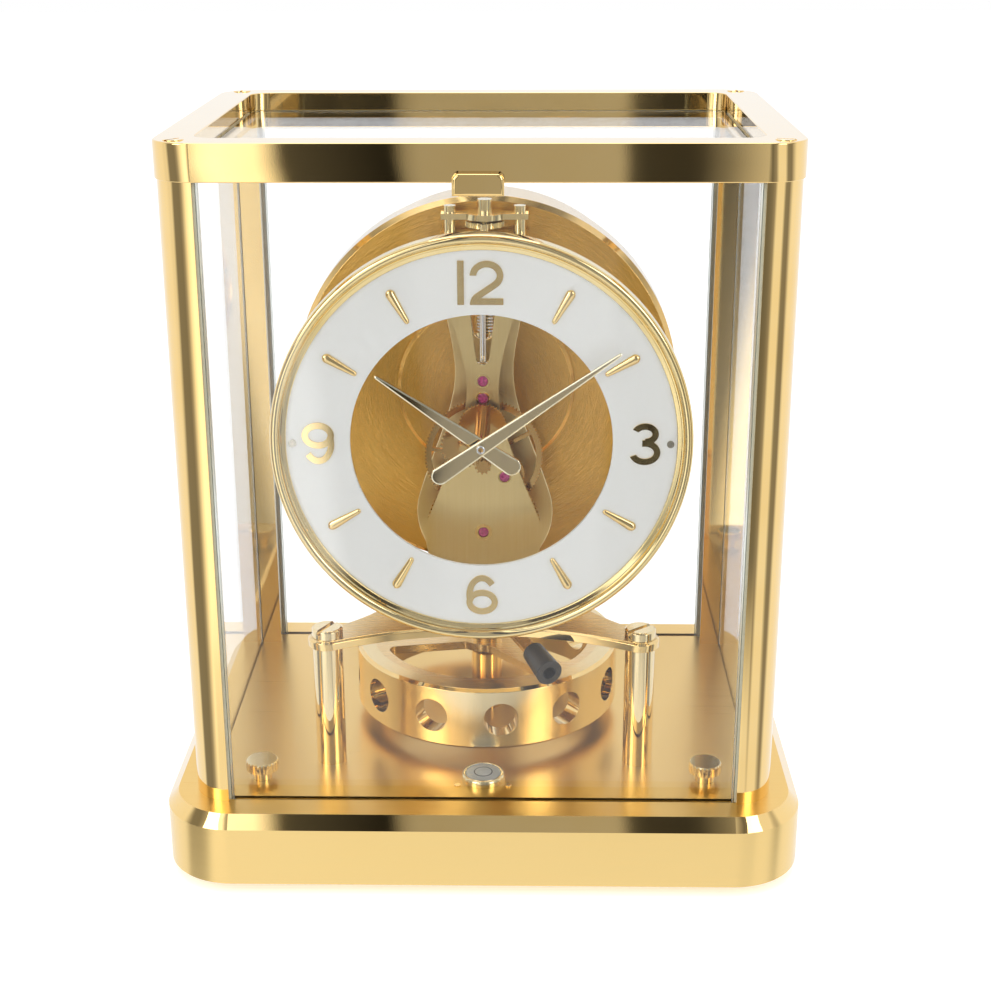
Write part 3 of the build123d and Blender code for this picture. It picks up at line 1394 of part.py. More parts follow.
# Bezel: a turned ring with two steps that grips the rim of the dial
with BuildPart() as bezel:
    with BuildSketch(dial_section):
        with BuildLine():
            step = (bezel_outer - bezel_inner) / 5
            Polyline((-dial_forward, bezel_inner),
                     (-dial_forward - bezel_step, bezel_inner),
                     (-dial_forward - 2 * bezel_step, bezel_inner + step),
                     (-dial_forward - 2 * bezel_step, bezel_inner + 2 * step),
                     (-bezel_front, bezel_inner + 3 * step),
                     (-bezel_front, bezel_inner + 4 * step),
                     (-bezel_front + step, bezel_outer),
                     (-bezel_back, bezel_outer),
                     (-bezel_back, dial_radius + running_gap),
                     (-dial_forward, dial_radius + running_gap),
                     close=True)
        make_face()
    revolve(axis=dial_axis)
bezel.part.label = "bezel"
export_step(bezel.part, "parts/bezel.step")

# Hour markers: the applied figures 12, 3, 6 and 9, and a tapered baton with a round end at each other hour
figure_half_height = figure_height / 2


def bowed_stroke(middle, half_width, half_height, start, end):
    """Part of an upright oval stroke, between two angles about its middle."""
    with BuildSketch(forward(dial_forward)) as stroke:
        with BuildLine():
            outer = EllipticalCenterArc(middle, half_width, half_height, start, arc_size=end - start)
            inner = EllipticalCenterArc(middle, half_width - figure_stroke, half_height - figure_stroke,
                                        start, arc_size=end - start)
            Line(outer @ 0, inner @ 0)
            Line(outer @ 1, inner @ 1)
        make_face()
    return stroke.sketch


def oval_stroke(middle, half_width, half_height):
    """Whole oval stroke about its middle."""
    with BuildSketch(forward(dial_forward)) as stroke:
        with Locations(middle):
            Ellipse(half_width, half_height)
            Ellipse(half_width - figure_stroke, half_height - figure_stroke, mode=Mode.SUBTRACT)
    return stroke.sketch


def straight_stroke(low, high):
    """Upright or level stroke, as a rectangle between two corners."""
    with BuildSketch(forward(dial_forward)) as stroke:
        with Locations(((low[0] + high[0]) / 2, (low[1] + high[1]) / 2)):
            Rectangle(high[0] - low[0], high[1] - low[1])
    return stroke.sketch


def figure_two(x, z):
    """Bowl, slanting neck and foot of a 2 about its middle."""
    bowl_middle = z + figure_half_height - two_bowl_height
    line_half_width = figure_half_width - figure_stroke / 2
    line_half_height = two_bowl_height - figure_stroke / 2
    lean = radians(two_bowl_end)
    neck_start = (x + line_half_width * cos(lean), bowl_middle + line_half_height * sin(lean))
    neck_slope = line_half_height * cos(lean) / (line_half_width * -sin(lean))
    neck_corner = (x - line_half_width, neck_start[1] - (neck_start[0] - x + line_half_width) * neck_slope)
    neck_end = (x - line_half_width, z - figure_half_height)
    with BuildSketch(forward(dial_forward)) as neck:
        with BuildLine():
            FilletPolyline(neck_start, neck_corner, neck_end, radius=two_neck_radius)
        trace(line_width=figure_stroke)
    bowl = bowed_stroke((x, bowl_middle), figure_half_width, two_bowl_height, two_bowl_end, 180)
    foot = straight_stroke((x - line_half_width, z - figure_half_height),
                           (x + figure_half_width, z - figure_half_height + figure_stroke))
    return [bowl, neck.sketch, foot]


def figure_three(x, z):
    """Two bowls and the short bar between them, of a 3 about its middle."""
    upper = (x, z + figure_half_height - three_upper_height)
    lower = (x, z - figure_half_height + three_lower_height)
    bar_low = lower[1] + three_lower_height - figure_stroke
    return [bowed_stroke(upper, three_upper_half, three_upper_height, -90, three_upper_end),
            bowed_stroke(lower, three_lower_half, three_lower_height, -three_lower_end, 90),
            straight_stroke((x - three_bar_reach, bar_low), (x + three_bar_reach, bar_low + figure_stroke))]


def figure_six(x, z, flip):
    """Oval bowl and tall hook of a 6 about its middle, or of a 9 where flip is -1."""
    turned = 0 if flip > 0 else 180
    hook = bowed_stroke((x, z), figure_half_width, figure_half_height, six_hook_end + turned,
                        six_hook_start + turned)
    bowl_middle = (x, z - flip * (figure_half_height - six_bowl_height))
    return [hook, oval_stroke(bowl_middle, figure_half_width, six_bowl_height)]


with BuildPart() as hour_markers:
    twelve_height = hands_height + numeral_ring
    one_side = -twelve_width / 2
    strokes = [straight_stroke((one_side, twelve_height - figure_half_height),
                               (one_side + figure_stroke, twelve_height + figure_half_height))]
    strokes += figure_two(twelve_width / 2 - figure_half_width, twelve_height)
    strokes += figure_three(numeral_ring, hands_height)
    strokes += figure_six(0, hands_height - numeral_ring, 1)
    strokes += figure_six(-numeral_ring, hands_height, -1)
    for stroke in strokes:
        extrude(stroke, amount=numeral_thickness)
    for hour in (1, 2, 4, 5, 7, 8, 10, 11):
        turn = radians(90 - 30 * hour)
        with BuildSketch(forward(dial_forward)):
            with Locations((baton_outer * cos(turn), hands_height + baton_outer * sin(turn))):
                Circle(baton_wide)
            with Locations((baton_inner * cos(turn), hands_height + baton_inner * sin(turn))):
                Circle(baton_narrow)
            make_hull()
        extrude(amount=baton_thickness)
hour_markers.part.label = "hour_markers"
export_step(hour_markers.part, "parts/hour_markers.step")

# Dial posts: two long rods from the drum to the dial, with a screw head each in front
with BuildPart() as dial_posts:
    for side in (-dial_screw_ring, dial_screw_ring):
        post_axis = (side, hands_height)
        extrude(disc(forward(-drum_front_back), dial_post_radius, post_axis),
                amount=drum_front_back + dial_back)
        extrude(disc(forward(dial_back), dial_post_radius / 2, post_axis), amount=dial_thickness)
        extrude(disc(forward(dial_forward), dial_screw_head, post_axis), amount=dial_screw_proud)
dial_posts.part.label = "dial_posts"
export_step(dial_posts.part, "parts/dial_posts.step")

# Drum body: a shallow pan with a raised disc in front and two legs on the support plate
with BuildPart() as drum_body:
    with BuildSketch(dial_section):
        with BuildLine():
            Polyline((drum_front_back - raised_disc_height, 0),
                     (drum_front_back - raised_disc_height, raised_disc_radius - raised_disc_edge),
                     (drum_front_back - raised_disc_height + raised_disc_edge, raised_disc_radius),
                     (drum_front_back, raised_disc_radius),
                     (drum_front_back, drum_radius - drum_bevel),
                     (drum_front_back + drum_bevel, drum_radius),
                     (drum_back, drum_radius),
                     (drum_back, drum_radius - drum_wall),
                     (drum_front_back + drum_wall, drum_radius - drum_wall),
                     (drum_front_back + drum_wall, 0),
                     close=True)
        make_face()
    revolve(axis=dial_axis)
    leg_rise = sqrt((drum_radius - drum_wall / 2) ** 2 - (drum_leg_side + drum_leg_width / 2) ** 2)
    with BuildSketch(Plane.XY.offset(plate_top)):
        with Locations((-drum_leg_side, drum_front_back + drum_length / 2),
                       (drum_leg_side, drum_front_back + drum_length / 2)):
            Rectangle(drum_leg_width, drum_length)
    extrude(amount=hands_height - leg_rise - plate_top)
drum_body.part.label = "drum_body"
export_step(drum_body.part, "parts/drum_body.step")

# Drum cover: a deep cup behind the pan with a flange that closes it
with BuildPart() as drum_cover:
    with BuildSketch(dial_section):
        with BuildLine():
            Polyline((drum_back, drum_radius - drum_wall / 2),
                     (drum_back, cover_radius - drum_wall),
                     (cover_back - drum_wall, cover_radius - drum_wall),
                     (cover_back - drum_wall, 0),
                     (cover_back, 0),
                     (cover_back, cover_radius),
                     (drum_back + cover_flange, cover_radius),
                     (drum_back + cover_flange, drum_radius - drum_wall / 2),
                     close=True)
        make_face()
    revolve(axis=dial_axis)
    fillet(drum_cover.edges().filter_by(GeomType.CIRCLE).group_by(Axis.Y)[-1], cover_round)
drum_cover.part.label = "drum_cover"
export_step(drum_cover.part, "parts/drum_cover.step")

# Bellows: a capsule with folded sides, fixed to the back of the cover and closed in front by its cap
bellows_back = cover_back - drum_wall
with BuildPart() as bellows:
    fold = (bellows_back - bellows_front) / bellows_folds
    with BuildSketch(dial_section):
        with BuildLine():
            outer_points = [(bellows_front, bellows_valley)]
            for fold_number in range(bellows_folds):
                fold_start = bellows_front + fold * fold_number
                outer_points.append((fold_start + fold / 2, bellows_radius))
                outer_points.append((fold_start + fold, bellows_valley))
            inner_points = [(place, radius - bellows_wall) for place, radius in outer_points[:-1]]
            inner_points.append((bellows_back - bellows_wall, bellows_valley - bellows_wall))
            inner_points.append((bellows_back - bellows_wall, 0))
            Polyline(*outer_points, (bellows_back, 0), *reversed(inner_points), close=True)
        make_face()
    revolve(axis=dial_axis)
bellows.part.label = "bellows"
export_step(bellows.part, "parts/bellows.step")

# Bellows cap: the plate that the capsule pushes forward as it warms
cap_back = bellows_front - running_gap
cap_front = cap_back - cap_thickness
with BuildPart() as bellows_cap:
    extrude(disc(forward(-cap_back), cap_radius, hands_axis), amount=cap_thickness)
bellows_cap.part.label = "bellows_cap"
export_step(bellows_cap.part, "parts/bellows_cap.step")

# Bellows spring: a few stiff turns in front of the cap, which has its travel free in front of them
spring_start = drum_front_back + drum_wall + cap_travel + bellows_spring_wire + seat_gap
spring_end = cap_front - bellows_spring_wire - seat_gap
bellows_spring_pitch = (spring_end - spring_start) / bellows_spring_turns
with BuildPart() as bellows_spring:
    bellows_spring_line = Wire(coil(Vector(0, spring_start, hands_height), Vector(0, 1, 0), Vector(1, 0, 0),
                                    bellows_spring_radius, bellows_spring_pitch, bellows_spring_turns))
    with BuildSketch(Plane(origin=bellows_spring_line @ 0, z_dir=bellows_spring_line % 0)):
        Circle(bellows_spring_wire)
    sweep(path=bellows_spring_line)
bellows_spring.part.label = "bellows_spring"
export_step(bellows_spring.part, "parts/bellows_spring.step")

# Regulator base: a bar on the arms of the back plate, with a short index and two riveted posts
base_bar_front = back_plate_forward
base_bar_depth = base_bar_front + base_bar_back
with BuildPart() as regulator_base:
    with BuildSketch(Plane.XY.offset(base_bar_top - base_bar_thickness)):
        with Locations((0, (base_bar_back - base_bar_front) / 2)):
            Rectangle(2 * base_bar_half, base_bar_depth)
        with Locations((0, axis_back)):
            Circle(tube_radius + running_gap, mode=Mode.SUBTRACT)
    extrude(amount=base_bar_thickness)
    with BuildSketch(Plane.XY.offset(base_bar_top)):
        with Locations((0, axis_back - regulator_wheel_radius - index_radius - 2 * seat_gap)):
            Circle(index_radius)
    extrude(amount=index_height)
    for side in (-regulator_post_side, regulator_post_side):
        for start, end, radius in ((base_bar_top, regulator_plate_bottom, regulator_post_radius),
                                   (regulator_plate_bottom, stud_bottom, regulator_post_radius / 2),
                                   (stud_bottom, stud_bottom + regulator_post_head, regulator_post_radius)):
            with BuildSketch(Plane.XY.offset(start)):
                with Locations((side, axis_back)):
                    Circle(radius)
            extrude(amount=end - start)
regulator_base.part.label = "regulator_base"
export_step(regulator_base.part, "parts/regulator_base.step")

# Regulator plate: a flat bridge with a round middle and the stud that clamps the wire
with BuildPart() as regulator_plate:
    with BuildSketch(Plane.XY.offset(regulator_plate_bottom)):
        with Locations((0, axis_back)):
            Rectangle(2 * regulator_plate_half, regulator_plate_width)
            Circle(regulator_boss)
        with Locations((-regulator_post_side, axis_back), (regulator_post_side, axis_back)):
            Circle(regulator_post_radius / 2 + running_gap, mode=Mode.SUBTRACT)
    extrude(amount=regulator_plate_thickness)
    with BuildSketch(Plane.XY.offset(stud_bottom)):
        with Locations((0, axis_back)):
            Circle(stud_radius)
    extrude(amount=stud_height)
    with BuildSketch(Plane.XY.offset(regulator_plate_bottom - overrun)):
        with Locations((0, axis_back)):
            Circle(wire_radius + running_gap)
    extrude(amount=overrun + regulator_plate_thickness + stud_height / 2 + seat_gap, mode=Mode.SUBTRACT)
regulator_plate.part.label = "regulator_plate"
export_step(regulator_plate.part, "parts/regulator_plate.step")

# Regulator wheel: a toothed ring round the top of the suspension tube
with BuildPart() as regulator_wheel:
    with BuildSketch(Plane.XY.offset(regulator_wheel_bottom)):
        with BuildLine():
            Polyline(*rim_points(regulator_teeth, regulator_wheel_radius, 0, (0, axis_back)), close=True)
        make_face()
        with Locations((0, axis_back)):
            Circle(tube_radius + running_gap, mode=Mode.SUBTRACT)
    extrude(amount=regulator_wheel_thickness)
regulator_wheel.part.label = "regulator_wheel"
export_step(regulator_wheel.part, "parts/regulator_wheel.step")

# Suspension tube: shields the wire behind the movement and is held by the back plate
with BuildPart() as suspension_tube:
    with BuildSketch(Plane.XY.offset(tube_bottom)):
        with Locations((0, axis_back)):
            Circle(tube_radius)
    extrude(amount=regulator_plate_bottom - seat_gap - tube_bottom)
    with BuildSketch(Plane.XY.offset(tube_spring_bottom - tube_collar_height)):
        with Locations((0, axis_back)):
            Circle(tube_collar_radius)
    extrude(amount=tube_collar_height)
    with BuildSketch(Plane.XY.offset(tube_bracket_height)):
        with Locations((0, (axis_back - back_plate_back) / 2)):
            Rectangle(2 * tube_bracket_half, axis_back + back_plate_back)
    extrude(amount=tube_bracket_thickness)
    with BuildSketch(Plane.XY.offset(tube_bottom - overrun)):
        with Locations((0, axis_back)):
            Circle(tube_bore)
    extrude(amount=regulator_plate_bottom - tube_bottom + 2 * overrun, mode=Mode.SUBTRACT)
suspension_tube.part.label = "suspension_tube"
export_step(suspension_tube.part, "parts/suspension_tube.step")

# Tube spring: a fine coil round the upper part of the suspension tube
tube_spring_start = tube_spring_bottom + tube_spring_wire + seat_gap / 2
with BuildPart() as tube_spring:
    tube_spring_line = Wire(coil(Vector(0, axis_back, tube_spring_start), Vector(0, 0, 1), Vector(0, -1, 0),
                                 tube_spring_radius, tube_spring_pitch, tube_spring_turns))
    with BuildSketch(Plane(origin=tube_spring_line @ 0, z_dir=tube_spring_line % 0)):
        Circle(tube_spring_wire)
    sweep(path=tube_spring_line)
tube_spring.part.label = "tube_spring"
export_step(tube_spring.part, "parts/tube_spring.step")

# Least gap between one turn and the next of each coil, measured on points half a turn or more apart
for coil_name, coil_line, turns, wire in (("bellows_spring", bellows_spring_line, bellows_spring_turns,
                                           bellows_spring_wire),
                                          ("tube_spring", tube_spring_line, tube_spring_turns,
                                           tube_spring_wire)):
    samples = 24 * turns
    coil_points = [coil_line @ (number / samples) for number in range(samples + 1)]
    least = min((coil_points[later] - coil_points[earlier]).length
                for earlier in range(samples + 1) for later in range(earlier + 12, samples + 1))
    print(coil_name, "least gap", round(least - 2 * wire, 3), "mm")
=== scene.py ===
import json
from math import asin, cos, pi, radians, sin, sqrt

import bmesh
import bpy
from mathutils import Matrix, Vector

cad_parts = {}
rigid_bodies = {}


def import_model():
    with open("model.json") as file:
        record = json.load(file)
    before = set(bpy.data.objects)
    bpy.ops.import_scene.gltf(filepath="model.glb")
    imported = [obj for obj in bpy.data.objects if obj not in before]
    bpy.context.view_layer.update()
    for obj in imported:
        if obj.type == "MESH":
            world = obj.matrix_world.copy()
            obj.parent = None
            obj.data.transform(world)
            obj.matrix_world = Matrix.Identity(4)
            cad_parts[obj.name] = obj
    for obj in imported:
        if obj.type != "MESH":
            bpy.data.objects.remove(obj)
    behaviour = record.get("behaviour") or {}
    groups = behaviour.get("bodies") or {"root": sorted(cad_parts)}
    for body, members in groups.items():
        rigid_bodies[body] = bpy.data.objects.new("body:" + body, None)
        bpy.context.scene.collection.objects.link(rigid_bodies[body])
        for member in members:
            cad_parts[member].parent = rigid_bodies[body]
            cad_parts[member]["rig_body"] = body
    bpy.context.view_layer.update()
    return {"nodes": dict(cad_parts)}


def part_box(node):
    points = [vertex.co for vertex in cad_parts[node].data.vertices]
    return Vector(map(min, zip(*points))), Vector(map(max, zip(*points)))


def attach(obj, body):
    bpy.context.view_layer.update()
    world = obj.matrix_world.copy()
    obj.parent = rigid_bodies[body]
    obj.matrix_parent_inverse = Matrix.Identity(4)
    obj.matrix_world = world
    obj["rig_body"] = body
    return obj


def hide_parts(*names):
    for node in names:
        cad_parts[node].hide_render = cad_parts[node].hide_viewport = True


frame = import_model()

# The view: a picture taken from a little above the dial's top, almost square on to the front of the case.
# A long lens on a stand keeps the posts nearly upright.
eye = Vector((0.013273, -0.530437, 0.291726))
focal_pixels = 1706.617
picture_side = 991
turn_left, look_down, lean = 0.0190, 0.3400, -0.003
ahead = Vector((-sin(turn_left) * cos(look_down), cos(turn_left) * cos(look_down), -sin(look_down)))
level_right = Vector((cos(turn_left), sin(turn_left), 0))
level_up = level_right.cross(ahead)
camera_right = cos(lean) * level_right + sin(lean) * level_up
camera_up = -sin(lean) * level_right + cos(lean) * level_up
lens = bpy.data.cameras.new("view")
lens.sensor_width = 36
lens.lens = 36 * focal_pixels / picture_side
lens.clip_start = 0.01
camera = bpy.data.objects.new("view", lens)
camera.matrix_world = Matrix((camera_right, camera_up, -ahead)).transposed().to_4x4()
camera.location = eye
bpy.context.scene.collection.objects.link(camera)
bpy.context.scene.camera = camera
bpy.context.scene.view_settings.view_transform = "Standard"


# The studio: a pale sheet under the clock and a white tent round it, with soft lamps to the left, right and top.
# In front the tent is open in strips, so polished metal shows grey and dark bands there, and white elsewhere. The
# numbers of the tent are directions in the world, from -1 at its left or bottom to 1 at its right or top.
class Signal:
    """A socket in a node tree. Arithmetic on it adds Math nodes."""

    def __init__(self, tree, socket=None):
        self.tree = tree
        self.socket = socket

    def node(self, kind, settings=None, inputs=None, out=0):
        """Adds a node, sets it up, feeds its sockets and gives one of its outputs."""
        made = self.tree.nodes.new("ShaderNode" + kind)
        for key, value in (settings or {}).items():
            if key == "stops":
                ramp = made.color_ramp
                while len(ramp.elements) < len(value):
                    ramp.elements.new(0.5)
                for element, (place, shade) in zip(ramp.elements, value):
                    element.position = place
                    element.color = (shade, shade, shade, 1)
            else:
                setattr(made, key, value)
        for key, value in (inputs or {}).items():
            if isinstance(value, Signal):
                self.tree.links.new(value.socket, made.inputs[key])
            else:
                made.inputs[key].default_value = value
        return Signal(self.tree, made.outputs[out])

    def maths(self, operation, first, second=0.0):
        return self.node("Math", {"operation": operation}, {0: first, 1: second})

    def span(self, low, high):
        """0 below low and 1 above high, smooth between them."""
        return self.node("MapRange", {"interpolation_type": "SMOOTHSTEP"},
                         {"Value": self, "From Min": low, "From Max": high})

    def __add__(self, other):
        return self.maths("ADD", self, other)

    __radd__ = __add__

    def __mul__(self, other):
        return self.maths("MULTIPLY", self, other)

    __rmul__ = __mul__

    def __sub__(self, other):
        return self.maths("SUBTRACT", self, other)

    def __rsub__(self, other):
        return self.maths("SUBTRACT", other, self)


tent = bpy.data.worlds.new("white_tent")
tent.use_nodes = True
sky = Signal(tent.node_tree)
tent_strips = ((-1.0, 0.9), (-0.96, 0.9), (-0.92, 0.25), (-0.75, 0.24), (-0.68, 0.38), (-0.6, 0.8),
               (-0.52, 1.2), (-0.4, 1.6), (-0.3, 1.5), (-0.24, 0.6), (-0.2, 0.42), (-0.185, 1.8),
               (-0.153, 1.5), (-0.143, 0.08), (-0.077, 0.012), (-0.068, 0.4), (0.057, 0.44), (0.063, 0.05),
               (0.1, 0.04), (0.118, 0.22), (0.14, 0.6), (0.2, 0.4), (0.3, 0.17), (0.475, 0.33), (0.58, 0.95),
               (0.8, 0.95), (0.87, 0.28), (0.95, 0.25), (1.0, 0.9))
tent_peak = 1.8
band_height, fan_out, middle_reach, outer_reach = -0.146, 1.7, (0.2, 0.35), (0.4, 0.6)
table_reach, outer_drop, table_dim, back_reach = (-0.46, -0.36), 0.12, 0.1, (-0.15, 0.05)
soft_light = 1.2
way = sky.node("TexCoord", out="Generated")
side, depth, height = (sky.node("SeparateXYZ", {}, {0: way}, out=axis) for axis in "XYZ")
below_band = sky.maths("MAXIMUM", band_height - height, 0.0)
near_middle = 1 - side.maths("ABSOLUTE", side).span(*middle_reach)
across = side * (1 + fan_out * below_band * near_middle)
strips = sky.node("ValToRGB", {"stops": [((place + 1) / 2, shade / tent_peak) for place, shade in tent_strips]},
                  {"Fac": across * 0.5 + 0.5}) * tent_peak
outer = side.maths("ABSOLUTE", side).span(*outer_reach)
above_table = (height + outer_drop * outer).span(*table_reach)
table_light = 1.0 - table_dim * (1 - near_middle) * (1 - sky.maths("MINIMUM", strips, 1.0))
open_front = strips * above_table + table_light * (1 - above_table)
behind = depth.span(*back_reach)
gloss_light = open_front * (1 - behind) + behind


def after_bounce(start, kind):
    """1 once a light path has bounced that way."""
    return start.maths("MINIMUM", start.node("LightPath", out=kind + " Depth"), 1.0)


scattered = after_bounce(sky, "Diffuse")
mirrored = after_bounce(sky, "Glossy") * (1 - scattered)
strength = 1 + (soft_light - 1) * scattered + (gloss_light - 1) * mirrored
sky.tree.links.new(strength.socket, sky.tree.nodes["Background"].inputs["Strength"])
sky.tree.nodes["Background"].inputs["Color"].default_value = (1, 1, 1, 1)
bpy.context.scene.world = tent

sheet_half, paper_glow_strength = 4, 0.3
floor_mesh = bpy.data.meshes.new("pale_sheet")
floor_mesh.from_pydata([(x * sheet_half, y * sheet_half, 0) for x, y in ((-1, -1), (1, -1), (1, 1), (-1, 1))], [],
                       [(0, 1, 2, 3)])
floor = bpy.data.objects.new("pale_sheet", floor_mesh)
bpy.context.scene.collection.objects.link(floor)
paper = bpy.data.materials.new("pale_paper")
paper.use_nodes = True
sheet = Signal(paper.node_tree)
sheet_shader = paper.node_tree.nodes["Principled BSDF"]
sheet_shader.inputs["Roughness"].default_value = 0.9
sheet_shader.inputs["Specular IOR Level"].default_value = 0.1
fibres = sheet.node("TexNoise", {}, {"Vector": sheet.node("TexCoord", out="Object"), "Scale": 30.0, "Detail": 3.0})
sheet_tone = sheet.node("Mix", {"data_type": "RGBA"},
                        {"Factor": fibres, 6: (0.84, 0.84, 0.84, 1), 7: (0.88, 0.88, 0.88, 1)}, out=2)
paper.node_tree.links.new(sheet_tone.socket, sheet_shader.inputs["Base Color"])
unscattered = (1 - after_bounce(sheet, "Diffuse")) * (1 - after_bounce(sheet, "Glossy"))
paper_glow = sheet.node("Emission", {}, {"Color": (1, 1, 1, 1), "Strength": unscattered * paper_glow_strength})
paper_whole = sheet.node("AddShader", {}, {0: Signal(sheet.tree, sheet_shader.outputs[0]), 1: paper_glow})
clear_of_mirrors = sheet.node("MixShader", {}, {0: after_bounce(sheet, "Glossy"), 1: paper_whole,
                                                2: sheet.node("BsdfTransparent")})
paper.node_tree.links.new(clear_of_mirrors.socket, paper.node_tree.nodes["Material Output"].inputs["Surface"])
floor.data.materials.append(paper)

lamp_aim = Vector((0, 0, 0.12))
for name, place, wide, tall, watts in (("lamp_left", (-0.95, -0.9, 0.75), 0.45, 0.9, 5),
                                       ("lamp_right", (0.95, -0.9, 0.75), 0.45, 0.9, 4),
                                       ("lamp_top", (0, 0.15, 1.3), 0.8, 0.6, 3)):
    light = bpy.data.lights.new(name, "AREA")
    light.shape = "RECTANGLE"
    light.size, light.size_y, light.energy = wide, tall, watts
    lamp = bpy.data.objects.new(name, light)
    towards = lamp_aim - Vector(place)
    lamp.matrix_world = (Matrix.Translation(Vector(place))
                         @ towards.to_track_quat("-Z", "Y").to_matrix().to_4x4())
    bpy.context.scene.collection.objects.link(lamp)


# The plinth: a thick casting with a bevel round its top edge, gilded and lacquered. Its deck is brushed from left
# to right, its bevel is polished and its side is satin. A thin cover closes it from below.
def new_finish(name, metallic=1.0, roughness=0.2, **constants):
    """A material with its fixed values on the shader's own sockets."""
    material = bpy.data.materials.new(name)
    material.use_nodes = True
    shader = material.node_tree.nodes["Principled BSDF"]
    shader.inputs["Metallic"].default_value = metallic
    shader.inputs["Roughness"].default_value = roughness
    for socket, value in constants.items():
        shader.inputs[socket.replace("_", " ")].default_value = value
    return material, Signal(material.node_tree), shader


def feed(material, shader, **signals):
    """Links what varies over a surface to the shader."""
    for socket, signal in signals.items():
        material.node_tree.links.new(signal.socket, shader.inputs[socket.replace("_", " ")])
    return material


def tint(start, factor, one, other):
    """Two colours mixed by a factor."""
    return start.node("Mix", {"data_type": "RGBA"}, {"Factor": factor, 6: (*one, 1), 7: (*other, 1)}, out=2)


gilt, gilt_deep = (0.96, 0.70, 0.30), (0.92, 0.62, 0.21)


def polished(name, light=gilt, deep=gilt_deep, gloss=0.015, lacquer=1.0):
    """Polished metal: near a mirror, with a faint haze and hairlines from the buffing wheel."""
    material, start, shader = new_finish(name, Coat_Weight=lacquer, Coat_Roughness=0.03)
    place = start.node("TexCoord", out="Object")
    haze = start.node("TexNoise", {}, {"Vector": place, "Scale": 55.0, "Detail": 2.0})
    hair = start.node("TexNoise", {}, {"Vector": place, "Scale": 2600.0, "Detail": 2.0})
    return feed(material, shader, Base_Color=tint(start, haze, light, deep), Roughness=gloss + haze * 0.03,
                Normal=start.node("Bump", {}, {"Strength": 0.04, "Distance": 0.00002, "Height": hair}))


def brushed(name, stretch, light=gilt, deep=gilt_deep, rough=0.2, depth=0.3, lacquer=0.4):
    """Metal brushed along one axis, the one with the small number in stretch."""
    material, start, shader = new_finish(name, Coat_Weight=lacquer, Coat_Roughness=0.06)
    place = start.node("TexCoord", out="Object")
    along = start.node("VectorMath", {"operation": "MULTIPLY"}, {0: place, 1: stretch})
    strokes = start.node("TexNoise", {}, {"Vector": along, "Scale": 1.0, "Detail": 3.0, "Roughness": 0.6})
    patches = start.node("TexNoise", {}, {"Vector": place, "Scale": 40.0, "Detail": 1.0})
    return feed(material, shader, Base_Color=tint(start, strokes * 0.7 + patches * 0.3, deep, light),
                Roughness=rough + strokes * 0.12,
                Normal=start.node("Bump", {}, {"Strength": depth, "Distance": 0.00003, "Height": strokes}))


def weld(source):
    """The drawn piece's loose triangles, merged into one skin, in a new mesh."""
    mesh = source.data.copy()
    mesh.materials.clear()
    skin = bmesh.new()
    skin.from_mesh(mesh)
    bmesh.ops.remove_doubles(skin, verts=skin.verts, dist=2e-6)
    skin.to_mesh(mesh)
    skin.free()
    if "custom_normal" in mesh.attributes:
        mesh.attributes.remove(mesh.attributes["custom_normal"])
    return mesh


def plain_mesh(piece):
    """Turns a piece's modifiers into its mesh."""
    bpy.context.view_layer.update()
    reader = bpy.context.evaluated_depsgraph_get()
    mesh = bpy.data.meshes.new_from_object(piece.evaluated_get(reader), depsgraph=reader)
    piece.modifiers.clear()
    piece.data = mesh
    return piece


def soften(piece, edge, angle=38, steps=2):
    """Breaks a piece's sharp edges as a file does, and shades it smooth between them."""
    piece.data.shade_smooth()
    piece.data.set_sharp_from_angle(angle=radians(angle))
    if edge:
        bevel = piece.modifiers.new("edge", "BEVEL")
        bevel.width = edge
        bevel.segments = steps
        bevel.limit_method = "ANGLE"
        bevel.angle_limit = radians(angle)
        bevel.harden_normals = True
    weights = piece.modifiers.new("flats", "WEIGHTED_NORMAL")
    weights.keep_sharp = True
    weights.weight = 80
    return plain_mesh(piece)


def settle(piece, body, slot, *nodes):
    """Fixes a finished piece to its body, in place of the drawn ones it stands for."""
    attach(piece, body)
    if nodes:
        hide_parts(*nodes)
    return piece


def dressed(node, material, edge=0.00012, angle=38, slot="polished_gilt"):
    """Stands for a drawn piece: the same shape with broken edges and a real finish."""
    source = frame["nodes"][node]
    piece = bpy.data.objects.new(node + "_finished", weld(source))
    bpy.context.scene.collection.objects.link(piece)
    piece.data.materials.append(material)
    soften(piece, edge, angle)
    return settle(piece, source["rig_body"], slot, node)


def face_finishes(piece, choose, *materials):
    """Gives a piece's faces their finishes by which way they look and where they are."""
    for material in materials:
        piece.data.materials.append(material)
    for face in piece.data.polygons:
        face.material_index = choose(face.normal, face.center)


polished_gilt = polished("polished_gilt")
deck_brushed = brushed("deck_brushed", (18, 2600, 2600), (0.95, 0.68, 0.26), (0.88, 0.56, 0.17), 0.24, 0.6, 0.15)
side_satin = brushed("side_satin", (60, 60, 2200), (0.96, 0.70, 0.29), (0.94, 0.66, 0.25), rough=0.16, depth=0.03)
base_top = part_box("base_plinth")[1].z
bevel_height = 0.006
plinth = dressed("base_plinth", deck_brushed, edge=0.00018, slot="brushed_gilt")
face_finishes(plinth, lambda way, place: (0 if way.z > 0.9 else
                                          1 if way.z > 0.2 and place.z > base_top - bevel_height else 2),
              polished_gilt, side_satin)
dressed("base_cover", side_satin, slot="brushed_gilt")


